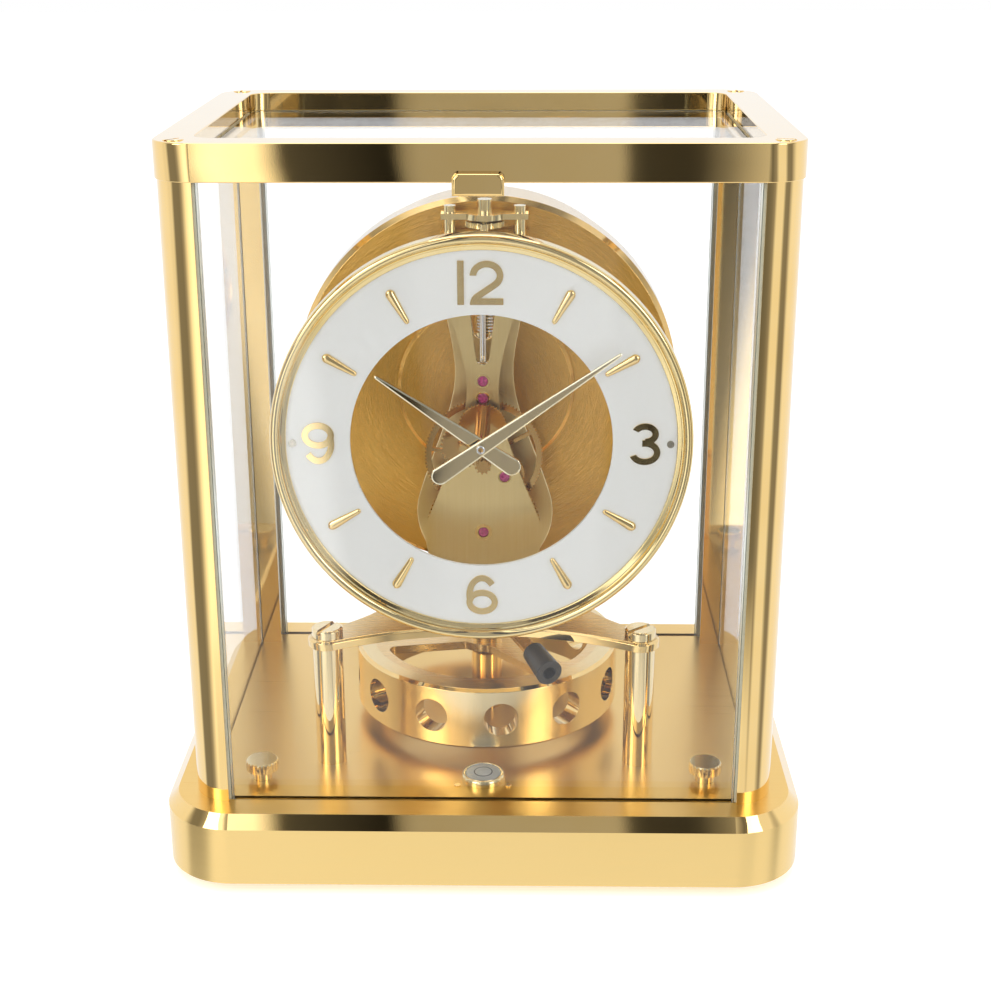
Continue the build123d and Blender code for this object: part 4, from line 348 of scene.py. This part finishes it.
# The feet: a fixed pad at the back and, in front, two screws that end in pads. Their notched heads, in pale gilt
# brass, stand over the deck inside the case, where a finger can turn them.
for node in ("rear_foot", "foot_pad_left", "foot_pad_right"):
    dressed(node, polished_gilt)
champagne = polished("champagne_gilt", (0.90, 0.76, 0.44), (0.84, 0.68, 0.35), 0.12)
for node in ("levelling_screw_left", "levelling_screw_right"):
    dressed(node, champagne, edge=0.00008)


# The bubble level: a small turned cup of pale gilt brass, fixed on the deck by three tiny screws. It holds spirit, an
# air bubble and a fine black ring under a domed glass.
def turned(name, profile, origin, axis, material, edge=0.0, steps=144, angle=38, segments=3):
    """A piece turned on a lathe: its profile is (radius, place along the axis), from one end to the other."""
    skin = bmesh.new()
    rings = []
    for radius, place in profile:
        if radius < 1e-7:
            rings.append([skin.verts.new((0, 0, place))])
        else:
            rings.append([skin.verts.new((radius * cos(2 * pi * k / steps), radius * sin(2 * pi * k / steps), place))
                          for k in range(steps)])
    closed = profile[0][0] > 1e-7 or profile[-1][0] > 1e-7
    pairs = list(zip(rings, rings[1:])) + ([(rings[-1], rings[0])] if closed else [])
    for one, other in pairs:
        for k in range(steps):
            after = (k + 1) % steps
            corners = [one[k % len(one)], one[after % len(one)], other[after % len(other)], other[k % len(other)]]
            corners = list(dict.fromkeys(corners))
            if len(corners) > 2:
                skin.faces.new(corners)
    bmesh.ops.recalc_face_normals(skin, faces=skin.faces)
    upright = Vector(axis).to_track_quat("Z", "Y").to_matrix().to_4x4()
    bmesh.ops.transform(skin, matrix=Matrix.Translation(Vector(origin)) @ upright, verts=skin.verts)
    mesh = bpy.data.meshes.new(name)
    skin.to_mesh(mesh)
    skin.free()
    piece = bpy.data.objects.new(name, mesh)
    bpy.context.scene.collection.objects.link(piece)
    mesh.materials.append(material)
    return soften(piece, edge, angle, segments)


class Growth:
    """A Geometry Nodes tree with named sizes."""

    def __init__(self, name, **sizes):
        self.tree = bpy.data.node_groups.new(name, "GeometryNodeTree")
        self.tree.interface.new_socket("Geometry", in_out="INPUT", socket_type="NodeSocketGeometry")
        self.keys = {}
        for label, value in sizes.items():
            entry = self.tree.interface.new_socket(label, in_out="INPUT", socket_type="NodeSocketFloat")
            self.keys[label] = (entry.identifier, value)
        self.tree.interface.new_socket("Geometry", in_out="OUTPUT", socket_type="NodeSocketGeometry")
        self.start = self.tree.nodes.new("NodeGroupInput").outputs

    def add(self, kind, settings=None, inputs=None, out=0):
        made = self.tree.nodes.new(kind)
        for key, value in (settings or {}).items():
            setattr(made, key, value)
        for key, value in (inputs or {}).items():
            if isinstance(value, bpy.types.NodeSocket):
                self.tree.links.new(value, made.inputs[key])
            else:
                made.inputs[key].default_value = value
        return made.outputs[out]

    def grow(self, name, points, geometry, material):
        """Runs the tree on an object that holds the points, and gives a plain mesh piece."""
        whole = self.add("GeometryNodeRealizeInstances", None, {"Geometry": geometry})
        whole = self.add("GeometryNodeSetMaterial", None, {"Geometry": whole, "Material": material})
        end = self.tree.nodes.new("NodeGroupOutput")
        self.tree.links.new(whole, end.inputs[0])
        mesh = bpy.data.meshes.new(name)
        mesh.from_pydata(points, [], [])
        piece = bpy.data.objects.new(name, mesh)
        bpy.context.scene.collection.objects.link(piece)
        modifier = piece.modifiers.new("growth", "NODES")
        modifier.node_group = self.tree
        for identifier, value in self.keys.values():
            modifier[identifier] = value
        return plain_mesh(piece)


def repeated(name, template, places, turns, axis, material):
    """One template set at each place, turned about an axis. The template is removed afterwards."""
    growth = Growth(name + "_tree", first_turn=turns[0], turn_step=turns[1], bend=turns[2])
    index = growth.add("GeometryNodeInputIndex")
    square = growth.add("ShaderNodeMath", {"operation": "MULTIPLY"}, {0: index, 1: index})
    linear = growth.add("ShaderNodeMath", {"operation": "MULTIPLY_ADD"},
                        {0: index, 1: growth.start["turn_step"], 2: growth.start["first_turn"]})
    angle = growth.add("ShaderNodeMath", {"operation": "MULTIPLY_ADD"},
                       {0: square, 1: growth.start["bend"], 2: linear})
    rotation = growth.add("FunctionNodeAxisAngleToRotation", None, {"Axis": axis, "Angle": angle})
    one = growth.add("GeometryNodeObjectInfo", None, {"Object": template}, out="Geometry")
    points = growth.add("GeometryNodeMeshToPoints", None, {"Mesh": growth.start["Geometry"]})
    set_out = growth.add("GeometryNodeInstanceOnPoints", None,
                         {"Points": points, "Instance": one, "Rotation": rotation})
    piece = growth.grow(name, places, set_out, material)
    bpy.data.objects.remove(template)
    return piece


def slotted(name, head_radius, head_height, slot_width, slot_depth, material, crown=0.0, edge=0.00008):
    """A slotted screw head about the origin, sitting on its underside."""
    head_profile = [(0, 0), (head_radius, 0), (head_radius, head_height - crown), (head_radius - crown, head_height),
                    (0, head_height)]
    head = turned(name, head_profile, (0, 0, 0), (0, 0, 1), material, 0, 64)
    blade_mesh = bpy.data.meshes.new(name + "_slot")
    cut = bmesh.new()
    bmesh.ops.create_cube(cut, size=1, matrix=Matrix.Translation((0, 0, head_height))
                          @ Matrix.Diagonal((4 * head_radius, slot_width, 2 * slot_depth, 1)))
    cut.to_mesh(blade_mesh)
    cut.free()
    blade = bpy.data.objects.new(name + "_slot", blade_mesh)
    bpy.context.scene.collection.objects.link(blade)
    groove = head.modifiers.new("slot", "BOOLEAN")
    groove.operation, groove.object, groove.solver = "DIFFERENCE", blade, "EXACT"
    plain_mesh(head)
    bpy.data.objects.remove(blade)
    return soften(head, edge, 30)


def flecked(name, roughness, scale, one, other, detail=2.0, **constants):
    """A material that isn't metal, with a fine change of colour over its surface."""
    material, start, shader = new_finish(name, 0.0, roughness, **constants)
    place = start.node("TexCoord", out="Object")
    flecks = start.node("TexNoise", {}, {"Vector": place, "Scale": scale, "Detail": detail})
    return feed(material, shader, Base_Color=tint(start, flecks, one, other))


upwards = (0, 0, 1)
level_low, level_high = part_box("level_housing")
level_place = Vector(((level_low.x + level_high.x) / 2, (level_low.y + level_high.y) / 2, 0))
level_radius = (level_high.x - level_low.x) / 2
level_rim = level_high.z
level_wall, level_floor, rim_inner, rim_flat, rim_round, rim_drop = 0.0014, 0.0008, 0.0004, 0.0009, 0.0003, 0.001
bowl_radius, bowl_floor = level_radius - level_wall, base_top + level_floor
housing = turned("level_cup", [(0, bowl_floor), (bowl_radius, bowl_floor), (bowl_radius, level_rim - rim_inner),
                               (bowl_radius + rim_inner, level_rim), (level_radius - rim_flat, level_rim),
                               (level_radius - rim_round, level_rim - rim_inner),
                               (level_radius, level_rim - rim_drop), (level_radius, base_top), (0, base_top)],
                 level_place, upwards, champagne, 0.00008)
settle(housing, "case", "polished_gilt", "level_housing")
spirit = flecked("level_spirit", 0.05, 300.0, (0.92, 0.92, 0.88), (0.84, 0.85, 0.81), 1.0, IOR=1.36, Coat_Weight=0.6)
spirit_top, floor_gap = level_rim - 0.0006, 0.0001
pool = turned("level_pool", [(0, spirit_top), (bowl_radius, spirit_top), (bowl_radius, bowl_floor + floor_gap),
                             (0, bowl_floor + floor_gap)], level_place, upwards, spirit)
settle(pool, "case", "clear_glass")
bubble_finish = flecked("level_bubble", 0.03, 400.0, (0.95, 0.95, 0.92), (0.88, 0.89, 0.86), Coat_Weight=1.0)
bubble_radius, bubble_height, bubble_offset = 0.0019, 0.0003, Vector((0.0008, -0.0003, 0))
bubble = turned("level_air", [(0, spirit_top + bubble_height), (0.0010, spirit_top + 0.00026),
                              (0.0017, spirit_top + 0.0001), (bubble_radius, spirit_top), (0, spirit_top)],
                level_place + bubble_offset, upwards, bubble_finish)
settle(bubble, "case", "clear_glass")
ring_paint = flecked("ring_paint", 0.4, 900.0, (0.03, 0.03, 0.03), (0.06, 0.06, 0.06))
ring_inner, ring_outer, ring_low, ring_high = 0.0026, 0.0029, level_rim - 0.00058, level_rim - 0.0005
mark = turned("level_ring", [(ring_inner, ring_low), (ring_outer, ring_low), (ring_outer, ring_high),
                             (ring_inner, ring_high)], level_place, upwards, ring_paint)
settle(mark, "case", "black_rubber")
tiny = slotted("tiny_screw", 0.001, 0.0005, 0.0003, 0.0002, polished_gilt, 0.0001, 0.00004)
tiny_ring = 0.0092
tiny_screws = repeated("level_screws_finished", tiny,
                       [level_place + Vector((tiny_ring * cos(radians(a)), tiny_ring * sin(radians(a)), base_top))
                        for a in (90, 210, 330)], (0.7, 0.9, 0.2), upwards, polished_gilt)
settle(tiny_screws, "case", "polished_gilt", "level_screws")


# The posts and the frame: quarter-round posts stand at the corners and carry a heavy rim that frames the top glass.
# A slotted screw goes down through each corner of the rim into its post, and a small catch on the rim's front laps
# over the front pane. All are polished and gilded.
dressed("corner_posts", polished_gilt, edge=0.0002)
dressed("top_frame", polished_gilt, edge=0.0003)
rim_low, rim_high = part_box("top_frame")
screw_inset_side, screw_inset_front, screw_head, screw_proud = 0.0068, 0.0065, 0.0019, 0.0003
corner_screw = slotted("corner_screw", 0.0028, screw_head, 0.0008, 0.0007, polished_gilt, 0.0002)
corner_screws = repeated("frame_screws_finished", corner_screw,
                         [(x, y, rim_high.z + screw_proud - screw_head)
                          for x in (rim_low.x + screw_inset_side, rim_high.x - screw_inset_side)
                          for y in (rim_low.y + screw_inset_front, rim_high.y - screw_inset_front)],
                         (radians(50), 0.4, 0.3), upwards, polished_gilt)
settle(corner_screws, "case", "polished_gilt", "frame_screws")
dressed("pane_catch", polished_gilt, edge=0.0001)


# The panes: thick plate glass, pale green at its ground edges. The front pane lifts in its groove, and thin grey
# strips seat the others against the posts. The level's domed glass is clear too.
def glass_of(name, rough=0.0):
    """Clear plate glass with a trace of dust in its gloss."""
    material, start, shader = new_finish(name, 0.0, rough, Transmission_Weight=1.0, IOR=1.46)
    place = start.node("TexCoord", out="Object")
    dust = start.node("TexNoise", {}, {"Vector": place, "Scale": 35.0, "Detail": 4.0})
    return feed(material, shader, Base_Color=tint(start, dust, (0.985, 0.988, 0.99), (0.972, 0.978, 0.982)),
                Roughness=rough + dust.span(0.55, 0.9) * 0.02)


clear_glass = glass_of("clear_glass")
edge_glass = flecked("ground_glass_edge", 0.35, 1500.0, (0.74, 0.82, 0.77), (0.82, 0.88, 0.84),
                     Transmission_Weight=0.6, IOR=1.46)
for node, across in (("front_glass", 1), ("rear_glass", 1), ("side_glasses", 0), ("top_glass", 2)):
    pane = dressed(node, clear_glass, edge=0, slot="clear_glass")
    face_finishes(pane, lambda way, place, across=across: 0 if abs(way[across]) > 0.9 else 1, edge_glass)
strip = flecked("seal_strip", 0.45, 600.0, (0.46, 0.47, 0.39), (0.36, 0.37, 0.30))
dressed("glass_gaskets", strip, edge=0, slot="black_rubber")
dressed("level_lens", glass_of("lens_glass"), edge=0, slot="clear_glass")


# The support plate: a thick plate with three lugs, brushed on top, with a polished edge. It stands on three polished
# pillars, and a large slotted screw clamps each lug.
champagne_bright = polished("champagne_bright", (0.95, 0.78, 0.45), (0.91, 0.71, 0.36))
plate_brushed = brushed("plate_brushed", (16, 2400, 2400), (0.94, 0.75, 0.43), (0.88, 0.67, 0.33), rough=0.22)
plate_piece = dressed("support_plate", plate_brushed, edge=0.00015)
face_finishes(plate_piece, lambda way, place: 0 if abs(way.z) > 0.9 else 1, polished_gilt)
dressed("pillars", champagne_bright)
plate_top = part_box("support_plate")[1].z
clamp_screw = slotted("clamp_screw", 0.0049, 0.003, 0.0014, 0.0014, champagne_bright, 0.0005, 0.00012)
lug_side, lug_front, lug_rear = 0.0494, -0.0364, 0.0549
lugs = [(x, y, plate_top) for x, y in ((-lug_side, lug_front), (lug_side, lug_front), (0, lug_rear))]
clamp_screws = repeated("pillar_screws_finished", clamp_screw, lugs,
                        (radians(62), radians(-20.5), radians(-1.5)), upwards, champagne_bright)
settle(clamp_screws, "case", "polished_gilt", "pillar_screws")


# The balance: a heavy ring bored with round holes and hung by its three-armed web from a wire as thin as a hair.
# The ring is brushed on its sides and polished on its bevels, and a round post on the deck stops the hub.
ring_satin = brushed("ring_satin", (700, 700, 30), (0.94, 0.78, 0.47), (0.88, 0.69, 0.36), rough=0.17, depth=0.25)
balance_ring = dressed("balance_ring", ring_satin, edge=0.0001)
face_finishes(balance_ring, lambda way, place: 0 if abs(way.z) < 0.2 or abs(way.z) > 0.95 else 1, polished_gilt)
dressed("balance_web", brushed("web_brushed", (16, 2400, 2400), (0.92, 0.70, 0.38), (0.84, 0.60, 0.28)))
dressed("balance_hub", polished_gilt)
dressed("stop_post", polished_gilt)
bare_steel = polished("bare_steel", (0.78, 0.78, 0.77), (0.66, 0.66, 0.66), 0.12, 0.0)
dressed("torsion_wire", bare_steel, edge=0, slot="steel")


# The lock: a bent strip on a collar under the plate, with a black rubber sleeve pushed over its end as a handle.
dressed("lever_bush", polished_gilt)
dressed("lock_lever", brushed("lever_brushed", (900, 900, 60), (0.85, 0.58, 0.26), (0.75, 0.48, 0.18)))
rubber, rubber_start, rubber_shader = new_finish("lever_rubber", 0.0, 0.35, Specular_IOR_Level=0.5)
rubber_place = rubber_start.node("TexCoord", out="Object")
scuffs = rubber_start.node("TexNoise", {}, {"Vector": rubber_place, "Scale": 500.0, "Detail": 4.0})
feed(rubber, rubber_shader, Base_Color=tint(rubber_start, scuffs, (0.022, 0.024, 0.028), (0.06, 0.06, 0.065)),
     Roughness=0.26 + scuffs * 0.25,
     Normal=rubber_start.node("Bump", {}, {"Strength": 0.2, "Distance": 0.00004, "Height": scuffs}))
dressed("lever_tip", rubber, edge=0.0004, slot="black_rubber")


# The movement's plates: two bottle-shaped plates, satin in front, held apart by pillars. Their edges are painted a
# pale cream, a painted highlight. Each front pivot runs in a ruby that is set in a polished cup.
plate_satin = brushed("movement_satin", (2200, 90, 40), (0.96, 0.76, 0.38), (0.84, 0.60, 0.23), 0.26, 0.4)
cup_face = -0.0301
# A paler, creamier gold than the plates' own, given to their bevelled edges as a painted highlight.
plate_edge_painted_highlight = polished("plate_edge_painted_highlight", (0.98, 0.90, 0.66), (0.95, 0.84, 0.55), 0.25)
for node in ("front_plate", "back_plate"):
    bottle = dressed(node, plate_satin, edge=0.0003, slot="brushed_gilt")
    face_finishes(bottle, lambda way, place: (2 if 0.3 < abs(way.y) < 0.9 else
                                              0 if abs(way.y) > 0.9 and place.y > cup_face else 1),
                  polished_gilt, plate_edge_painted_highlight)
dressed("plate_pillars", polished_gilt, slot="brushed_gilt")
ruby, ruby_start, ruby_shader = new_finish("ruby", 0.0, 0.04, IOR=1.76, Coat_Weight=1.0)
ruby_place = ruby_start.node("TexCoord", out="Object")
ruby_tone = ruby_start.node("TexNoise", {}, {"Vector": ruby_place, "Scale": 1400.0, "Detail": 2.0}).span(0.35, 0.65)
feed(ruby, ruby_shader, Base_Color=tint(ruby_start, ruby_tone, (0.28, 0.012, 0.09), (0.62, 0.05, 0.24)))
dressed("rubies", ruby, edge=0.0003, slot="ruby")


# The train: gilt wheels with thin spokes and fine teeth and a toothed barrel for the spring turn between the plates
# and in front of them. A steel fork rocks over the last wheel.
wheel_gilt = polished("wheel_gilt", (0.90, 0.58, 0.22), (0.80, 0.46, 0.14), 0.1, 0.2)
for node in ("centre_wheel", "third_wheel", "barrel", "ratchet", "escape_wheel", "minute_wheel", "cannon_pinion",
             "hour_wheel"):
    dressed(node, wheel_gilt, edge=0, slot="brushed_gilt")
dressed("pallet_fork", bare_steel, edge=0.00006, slot="steel")


# The dial: a wide white ring, satin lacquered, that leaves the movement open in its middle. A screw head shows at
# each side. A turned and polished bezel of three steps grips its rim.
dial_white, dial_start, dial_shader = new_finish("dial_white", 0.0, 0.28, Coat_Weight=0.25, Coat_Roughness=0.1)
dial_place = dial_start.node("TexCoord", out="Object")
frost = dial_start.node("TexNoise", {}, {"Vector": dial_place, "Scale": 2400.0, "Detail": 2.0})
cloud = dial_start.node("TexNoise", {}, {"Vector": dial_place, "Scale": 25.0})
feed(dial_white, dial_shader, Base_Color=tint(dial_start, cloud, (0.96, 0.965, 0.935), (0.93, 0.935, 0.905)),
     Roughness=0.24 + frost * 0.1,
     Normal=dial_start.node("Bump", {}, {"Strength": 0.08, "Distance": 0.00002, "Height": frost}))
dressed("dial_ring", dial_white, edge=0.00008, slot="white_enamel")
dial_centre = Vector((0, 0, 0.1382))
towards_reader = (0, -1, 0)
dial_front = 0.050


def arc(centre, radius, first, last, count):
    """Profile points on an arc, as (radius, place)."""
    return [(centre[0] + radius * cos(radians(first + (last - first) * k / count)),
             centre[1] + radius * sin(radians(first + (last - first) * k / count))) for k in range(count + 1)]


lip_radius, lip_height, lip_round = 0.05772, 0.0006, 0.0003
crown_radius, crown_height, crown_round, bezel_inside, bezel_back = 0.06102, 0.00102, 0.00138, 0.06125, 0.0466
bezel_profile = ([(lip_radius, dial_front), (lip_radius, dial_front + lip_height)]
                 + arc((lip_radius + lip_round, dial_front + lip_height), lip_round, 180, 90, 4)
                 + [(0.05895, dial_front + 0.00105), (0.05915, dial_front + 0.0014)]
                 + [(0.05945, dial_front + 0.00145), (0.05965, dial_front + 0.00125)]
                 + arc((crown_radius, dial_front + crown_height), crown_round, 170, 0, 16)
                 + [(crown_radius + crown_round, bezel_back), (bezel_inside, bezel_back), (bezel_inside, dial_front)])
bezel_gilt = polished("bezel_gilt", (0.94, 0.77, 0.42), (0.88, 0.68, 0.30), lacquer=0.25)
bezel = turned("bezel_finished", bezel_profile, dial_centre, towards_reader, bezel_gilt, 0.00008, 256, 30)
settle(bezel, "case", "polished_gilt", "bezel")
dressed("dial_posts", polished("post_steel", (0.80, 0.76, 0.66), (0.68, 0.62, 0.5), 0.12), edge=0.0002)


# The hour markers: applied figures at 12, 3, 6 and 9 and a tapered half-round baton at each other hour, all cut from
# polished gilt metal and pressed into the dial.
figure_gilt = polished("figure_gilt", (0.95, 0.74, 0.38), (0.92, 0.68, 0.31), 0.03, 0.3)
markers = bpy.data.objects.new("figures_finished", weld(frame["nodes"]["hour_markers"]))
bpy.context.scene.collection.objects.link(markers)
figures_only = bmesh.new()
figures_only.from_mesh(markers.data)
baton_points, slant_share = [], 0.35
for island_seed in list(figures_only.verts):
    if island_seed.tag:
        continue
    island, queue = [], [island_seed]
    island_seed.tag = True
    while queue:
        vertex = queue.pop()
        island.append(vertex)
        for link in vertex.link_edges:
            other = link.other_vert(vertex)
            if not other.tag:
                other.tag = True
                queue.append(other)
    middle = sum((v.co for v in island), Vector()) / len(island)
    across, up = middle.x, middle.z - dial_centre.z
    reach = sqrt(across * across + up * up)
    if min(abs(across), abs(up)) > slant_share * reach:
        baton_points += island
bmesh.ops.delete(figures_only, geom=baton_points, context="VERTS")
figures_only.to_mesh(markers.data)
figures_only.free()
markers.data.materials.append(figure_gilt)
soften(markers, 0.00016, 38, 3)
settle(markers, "case", "polished_gilt", "hour_markers")

baton_inner, baton_outer, baton_wide, baton_narrow, baton_height = 0.0418, 0.0531, 0.0015, 0.0008, 0.0011
baton_gap, around = 0.0001, 10
baton = bmesh.new()
baton_line = ([(baton_inner + baton_narrow * (1 - cos(radians(a))), baton_narrow * sin(radians(a)))
               for a in (8, 35, 62, 90)]
              + [(baton_outer - baton_wide + baton_wide * sin(radians(a)), baton_wide * cos(radians(a)))
                 for a in (0, 25, 50, 72, 88)])
baton_rings = []
for along, half in baton_line:
    crest = baton_height * (half / baton_wide) ** 0.5
    baton_rings.append([baton.verts.new((half * cos(pi * k / around),
                                         -dial_front - baton_gap - crest * sin(pi * k / around), along))
                        for k in range(around + 1)])
for one, other in zip(baton_rings, baton_rings[1:]):
    for k in range(around):
        baton.faces.new((one[k], one[k + 1], other[k + 1], other[k]))
    baton.faces.new((one[around], one[0], other[0], other[around]))
baton.faces.new(baton_rings[0])
baton.faces.new(baton_rings[-1])
bmesh.ops.recalc_face_normals(baton, faces=baton.faces)
baton_mesh = bpy.data.meshes.new("baton")
baton.to_mesh(baton_mesh)
baton.free()
baton_template = bpy.data.objects.new("baton", baton_mesh)
bpy.context.scene.collection.objects.link(baton_template)
baton_mesh.materials.append(figure_gilt)
soften(baton_template, 0.00006, 50)
for quarter in range(4):
    template = baton_template.copy()
    template.data = baton_template.data.copy()
    bpy.context.scene.collection.objects.link(template)
    pair = repeated(f"batons_{quarter + 1}", template, [dial_centre, dial_centre],
                    (radians(30 + 90 * quarter), radians(30), 0.0), (0, 1, 0), figure_gilt)
    settle(pair, "case", "polished_gilt")
bpy.data.objects.remove(baton_template)


# The hands: flat tapered blades with a rounded tail and a polished bevel all round. The blade is painted a duller
# gold as painted shade, and the bevel a pale cream as a painted highlight. A pipe carries the hour hand, and a small
# steel nut holds the minute hand on its arbor.
# The blade's duller gold is painted shade and the bevel's pale cream a painted highlight: a lit and a shaded copy of
# one metal.
hand_gilt = polished("hand_gilt", (0.80, 0.66, 0.40), (0.72, 0.58, 0.33), 0.04, 0.3)
hand_edge_painted_highlight = polished("hand_edge_painted_highlight", (0.97, 0.90, 0.68), (0.93, 0.84, 0.58), 0.06)
hand_point, hand_bevel, bevel_drop, hand_thick = 0.00045, 0.000441, 0.00025, 0.001
for node, tip, tail, half, back, clockwise, bore in (("hour_hand", 0.0373, 0.0136, 0.0027, 0.0524, 304.6, 0.0017),
                                                     ("minute_hand", 0.0496, 0.0173, 0.0026, 0.0546, 54.9, 0.001)):
    taper = asin((half - hand_point) / (tip - hand_point + tail - half))
    blade_skin = bmesh.new()
    outlines = []
    for inset, forward in ((0, back), (0, back + hand_thick - bevel_drop), (hand_bevel, back + hand_thick)):
        line = [(half - inset, half - tail, taper - k * (pi + 2 * taper) / 32) for k in range(33)]
        line += [(hand_point - inset, tip - hand_point, pi - taper - k * (pi - 2 * taper) / 6) for k in range(7)]
        outlines.append([blade_skin.verts.new((radius * cos(a), -forward, level + radius * sin(a)))
                         for radius, level, a in line])
    for one, other in zip(outlines, outlines[1:]):
        for k in range(len(one)):
            after = (k + 1) % len(one)
            blade_skin.faces.new((one[k], one[after], other[after], other[k]))
    blade_skin.faces.new(outlines[0])
    blade_skin.faces.new(outlines[-1])
    bmesh.ops.recalc_face_normals(blade_skin, faces=blade_skin.faces)
    pointing = Matrix.Translation(dial_centre) @ Matrix.Rotation(radians(clockwise), 4, "Y")
    bmesh.ops.transform(blade_skin, matrix=pointing, verts=blade_skin.verts)
    blade_mesh = bpy.data.meshes.new(node + "_blade")
    blade_skin.to_mesh(blade_mesh)
    blade_skin.free()
    blade = bpy.data.objects.new(node + "_finished", blade_mesh)
    bpy.context.scene.collection.objects.link(blade)
    drill_back, drill_front = back - hand_thick, back + 2 * hand_thick
    drill = turned("drill", [(0, drill_back), (bore, drill_back), (bore, drill_front), (0, drill_front)],
                   dial_centre, towards_reader, hand_gilt, 0, 48)
    eye_hole = blade.modifiers.new("eye", "BOOLEAN")
    eye_hole.operation, eye_hole.object, eye_hole.solver = "DIFFERENCE", drill, "EXACT"
    plain_mesh(blade)
    bpy.data.objects.remove(drill)
    blade.data.materials.clear()
    face_finishes(blade, lambda way, place: 1 if -0.98 < way.y < -0.2 else 0, hand_gilt, hand_edge_painted_highlight)
    soften(blade, 0.0)
    settle(blade, frame["nodes"][node]["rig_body"], "polished_gilt", node)
dressed("hand_nut", bare_steel, edge=0.00015, slot="steel")


# The drum: a shallow pan with a raised disc, turned and brushed in circles about its middle, closed behind by a deep
# cup that holds the sealed bellows.
def circular(name, light, deep, rough, depth):
    """Metal brushed in circles about the dial's axis."""
    material, start, shader = new_finish(name, Coat_Weight=0.35, Coat_Roughness=0.08)
    place = start.node("TexCoord", out="Object")
    from_axis = start.node("VectorMath", {"operation": "SUBTRACT"}, {0: place, 1: dial_centre})
    x, y, z = (start.node("SeparateXYZ", {}, {0: from_axis}, out=axis) for axis in "XYZ")
    radius = start.maths("SQRT", x * x + z * z)
    sweep = start.maths("ARCTAN2", x, z)
    grooves = start.node("CombineXYZ", {}, {0: radius * 5200.0, 1: sweep * 2.5, 2: y * 300.0})
    strokes = start.node("TexNoise", {}, {"Vector": grooves, "Scale": 1.0, "Detail": 3.0, "Roughness": 0.7})
    return feed(material, shader, Base_Color=tint(start, strokes, deep, light), Roughness=rough + strokes * 0.08,
                Normal=start.node("Bump", {}, {"Strength": depth, "Distance": 0.0001, "Height": strokes}))


drum_spun = circular("drum_spun", (0.90, 0.57, 0.17), (0.74, 0.40, 0.07), 0.16, 0.8)
drum_bright = polished("drum_bright", (0.92, 0.64, 0.26), (0.86, 0.55, 0.18), 0.08)
drum_piece = dressed("drum_body", drum_spun, edge=0.0003)
spun_reach = 0.055
face_finishes(drum_piece, lambda way, place: 0 if abs(way.y) > 0.9 or (place - dial_centre).xz.length < spun_reach
              else 1, drum_bright)
dressed("drum_cover", drum_bright, edge=0.0003)
capsule_brass = polished("capsule_brass", (0.88, 0.62, 0.28), (0.8, 0.52, 0.2), 0.15, 0.0)
for node in ("bellows", "bellows_cap", "bellows_spring"):
    dressed(node, capsule_brass, edge=0, slot="capsule_brass")


# The suspension: a bracket on the back plate carries the regulator, all in pale gilt brass. A tube with the wire
# inside it runs down from there behind the dial, and a fine steel spring is wound round it.
for node in ("regulator_base", "regulator_plate", "regulator_wheel", "suspension_tube"):
    dressed(node, champagne, edge=0.0001)
coil_radius, coil_wire, coil_turns, coil_pitch, wire_depth = 0.0029, 0.0003, 24.0, 0.00105, 0.005
coil_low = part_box("tube_spring")[0].z + coil_wire
winding = Growth("tube_winding", turns=coil_turns, radius=coil_radius, length=coil_turns * coil_pitch, wire=coil_wire)
line = winding.add("GeometryNodeCurveSpiral", None,
                   {"Resolution": 28, "Rotations": winding.start["turns"], "Start Radius": winding.start["radius"],
                    "End Radius": winding.start["radius"], "Height": winding.start["length"]})
section = winding.add("GeometryNodeCurvePrimitiveCircle", None, {"Resolution": 10, "Radius": winding.start["wire"]})
coil_skin = winding.add("GeometryNodeCurveToMesh", None, {"Curve": line, "Profile Curve": section, "Fill Caps": True})
coil_skin = winding.add("GeometryNodeTransform", None,
                        {"Geometry": coil_skin, "Translation": (0, wire_depth, coil_low)})
coil_piece = winding.grow("tube_spring_finished", [], coil_skin, bare_steel)
coil_piece.data.shade_smooth()
settle(coil_piece, "case", "steel", "tube_spring")
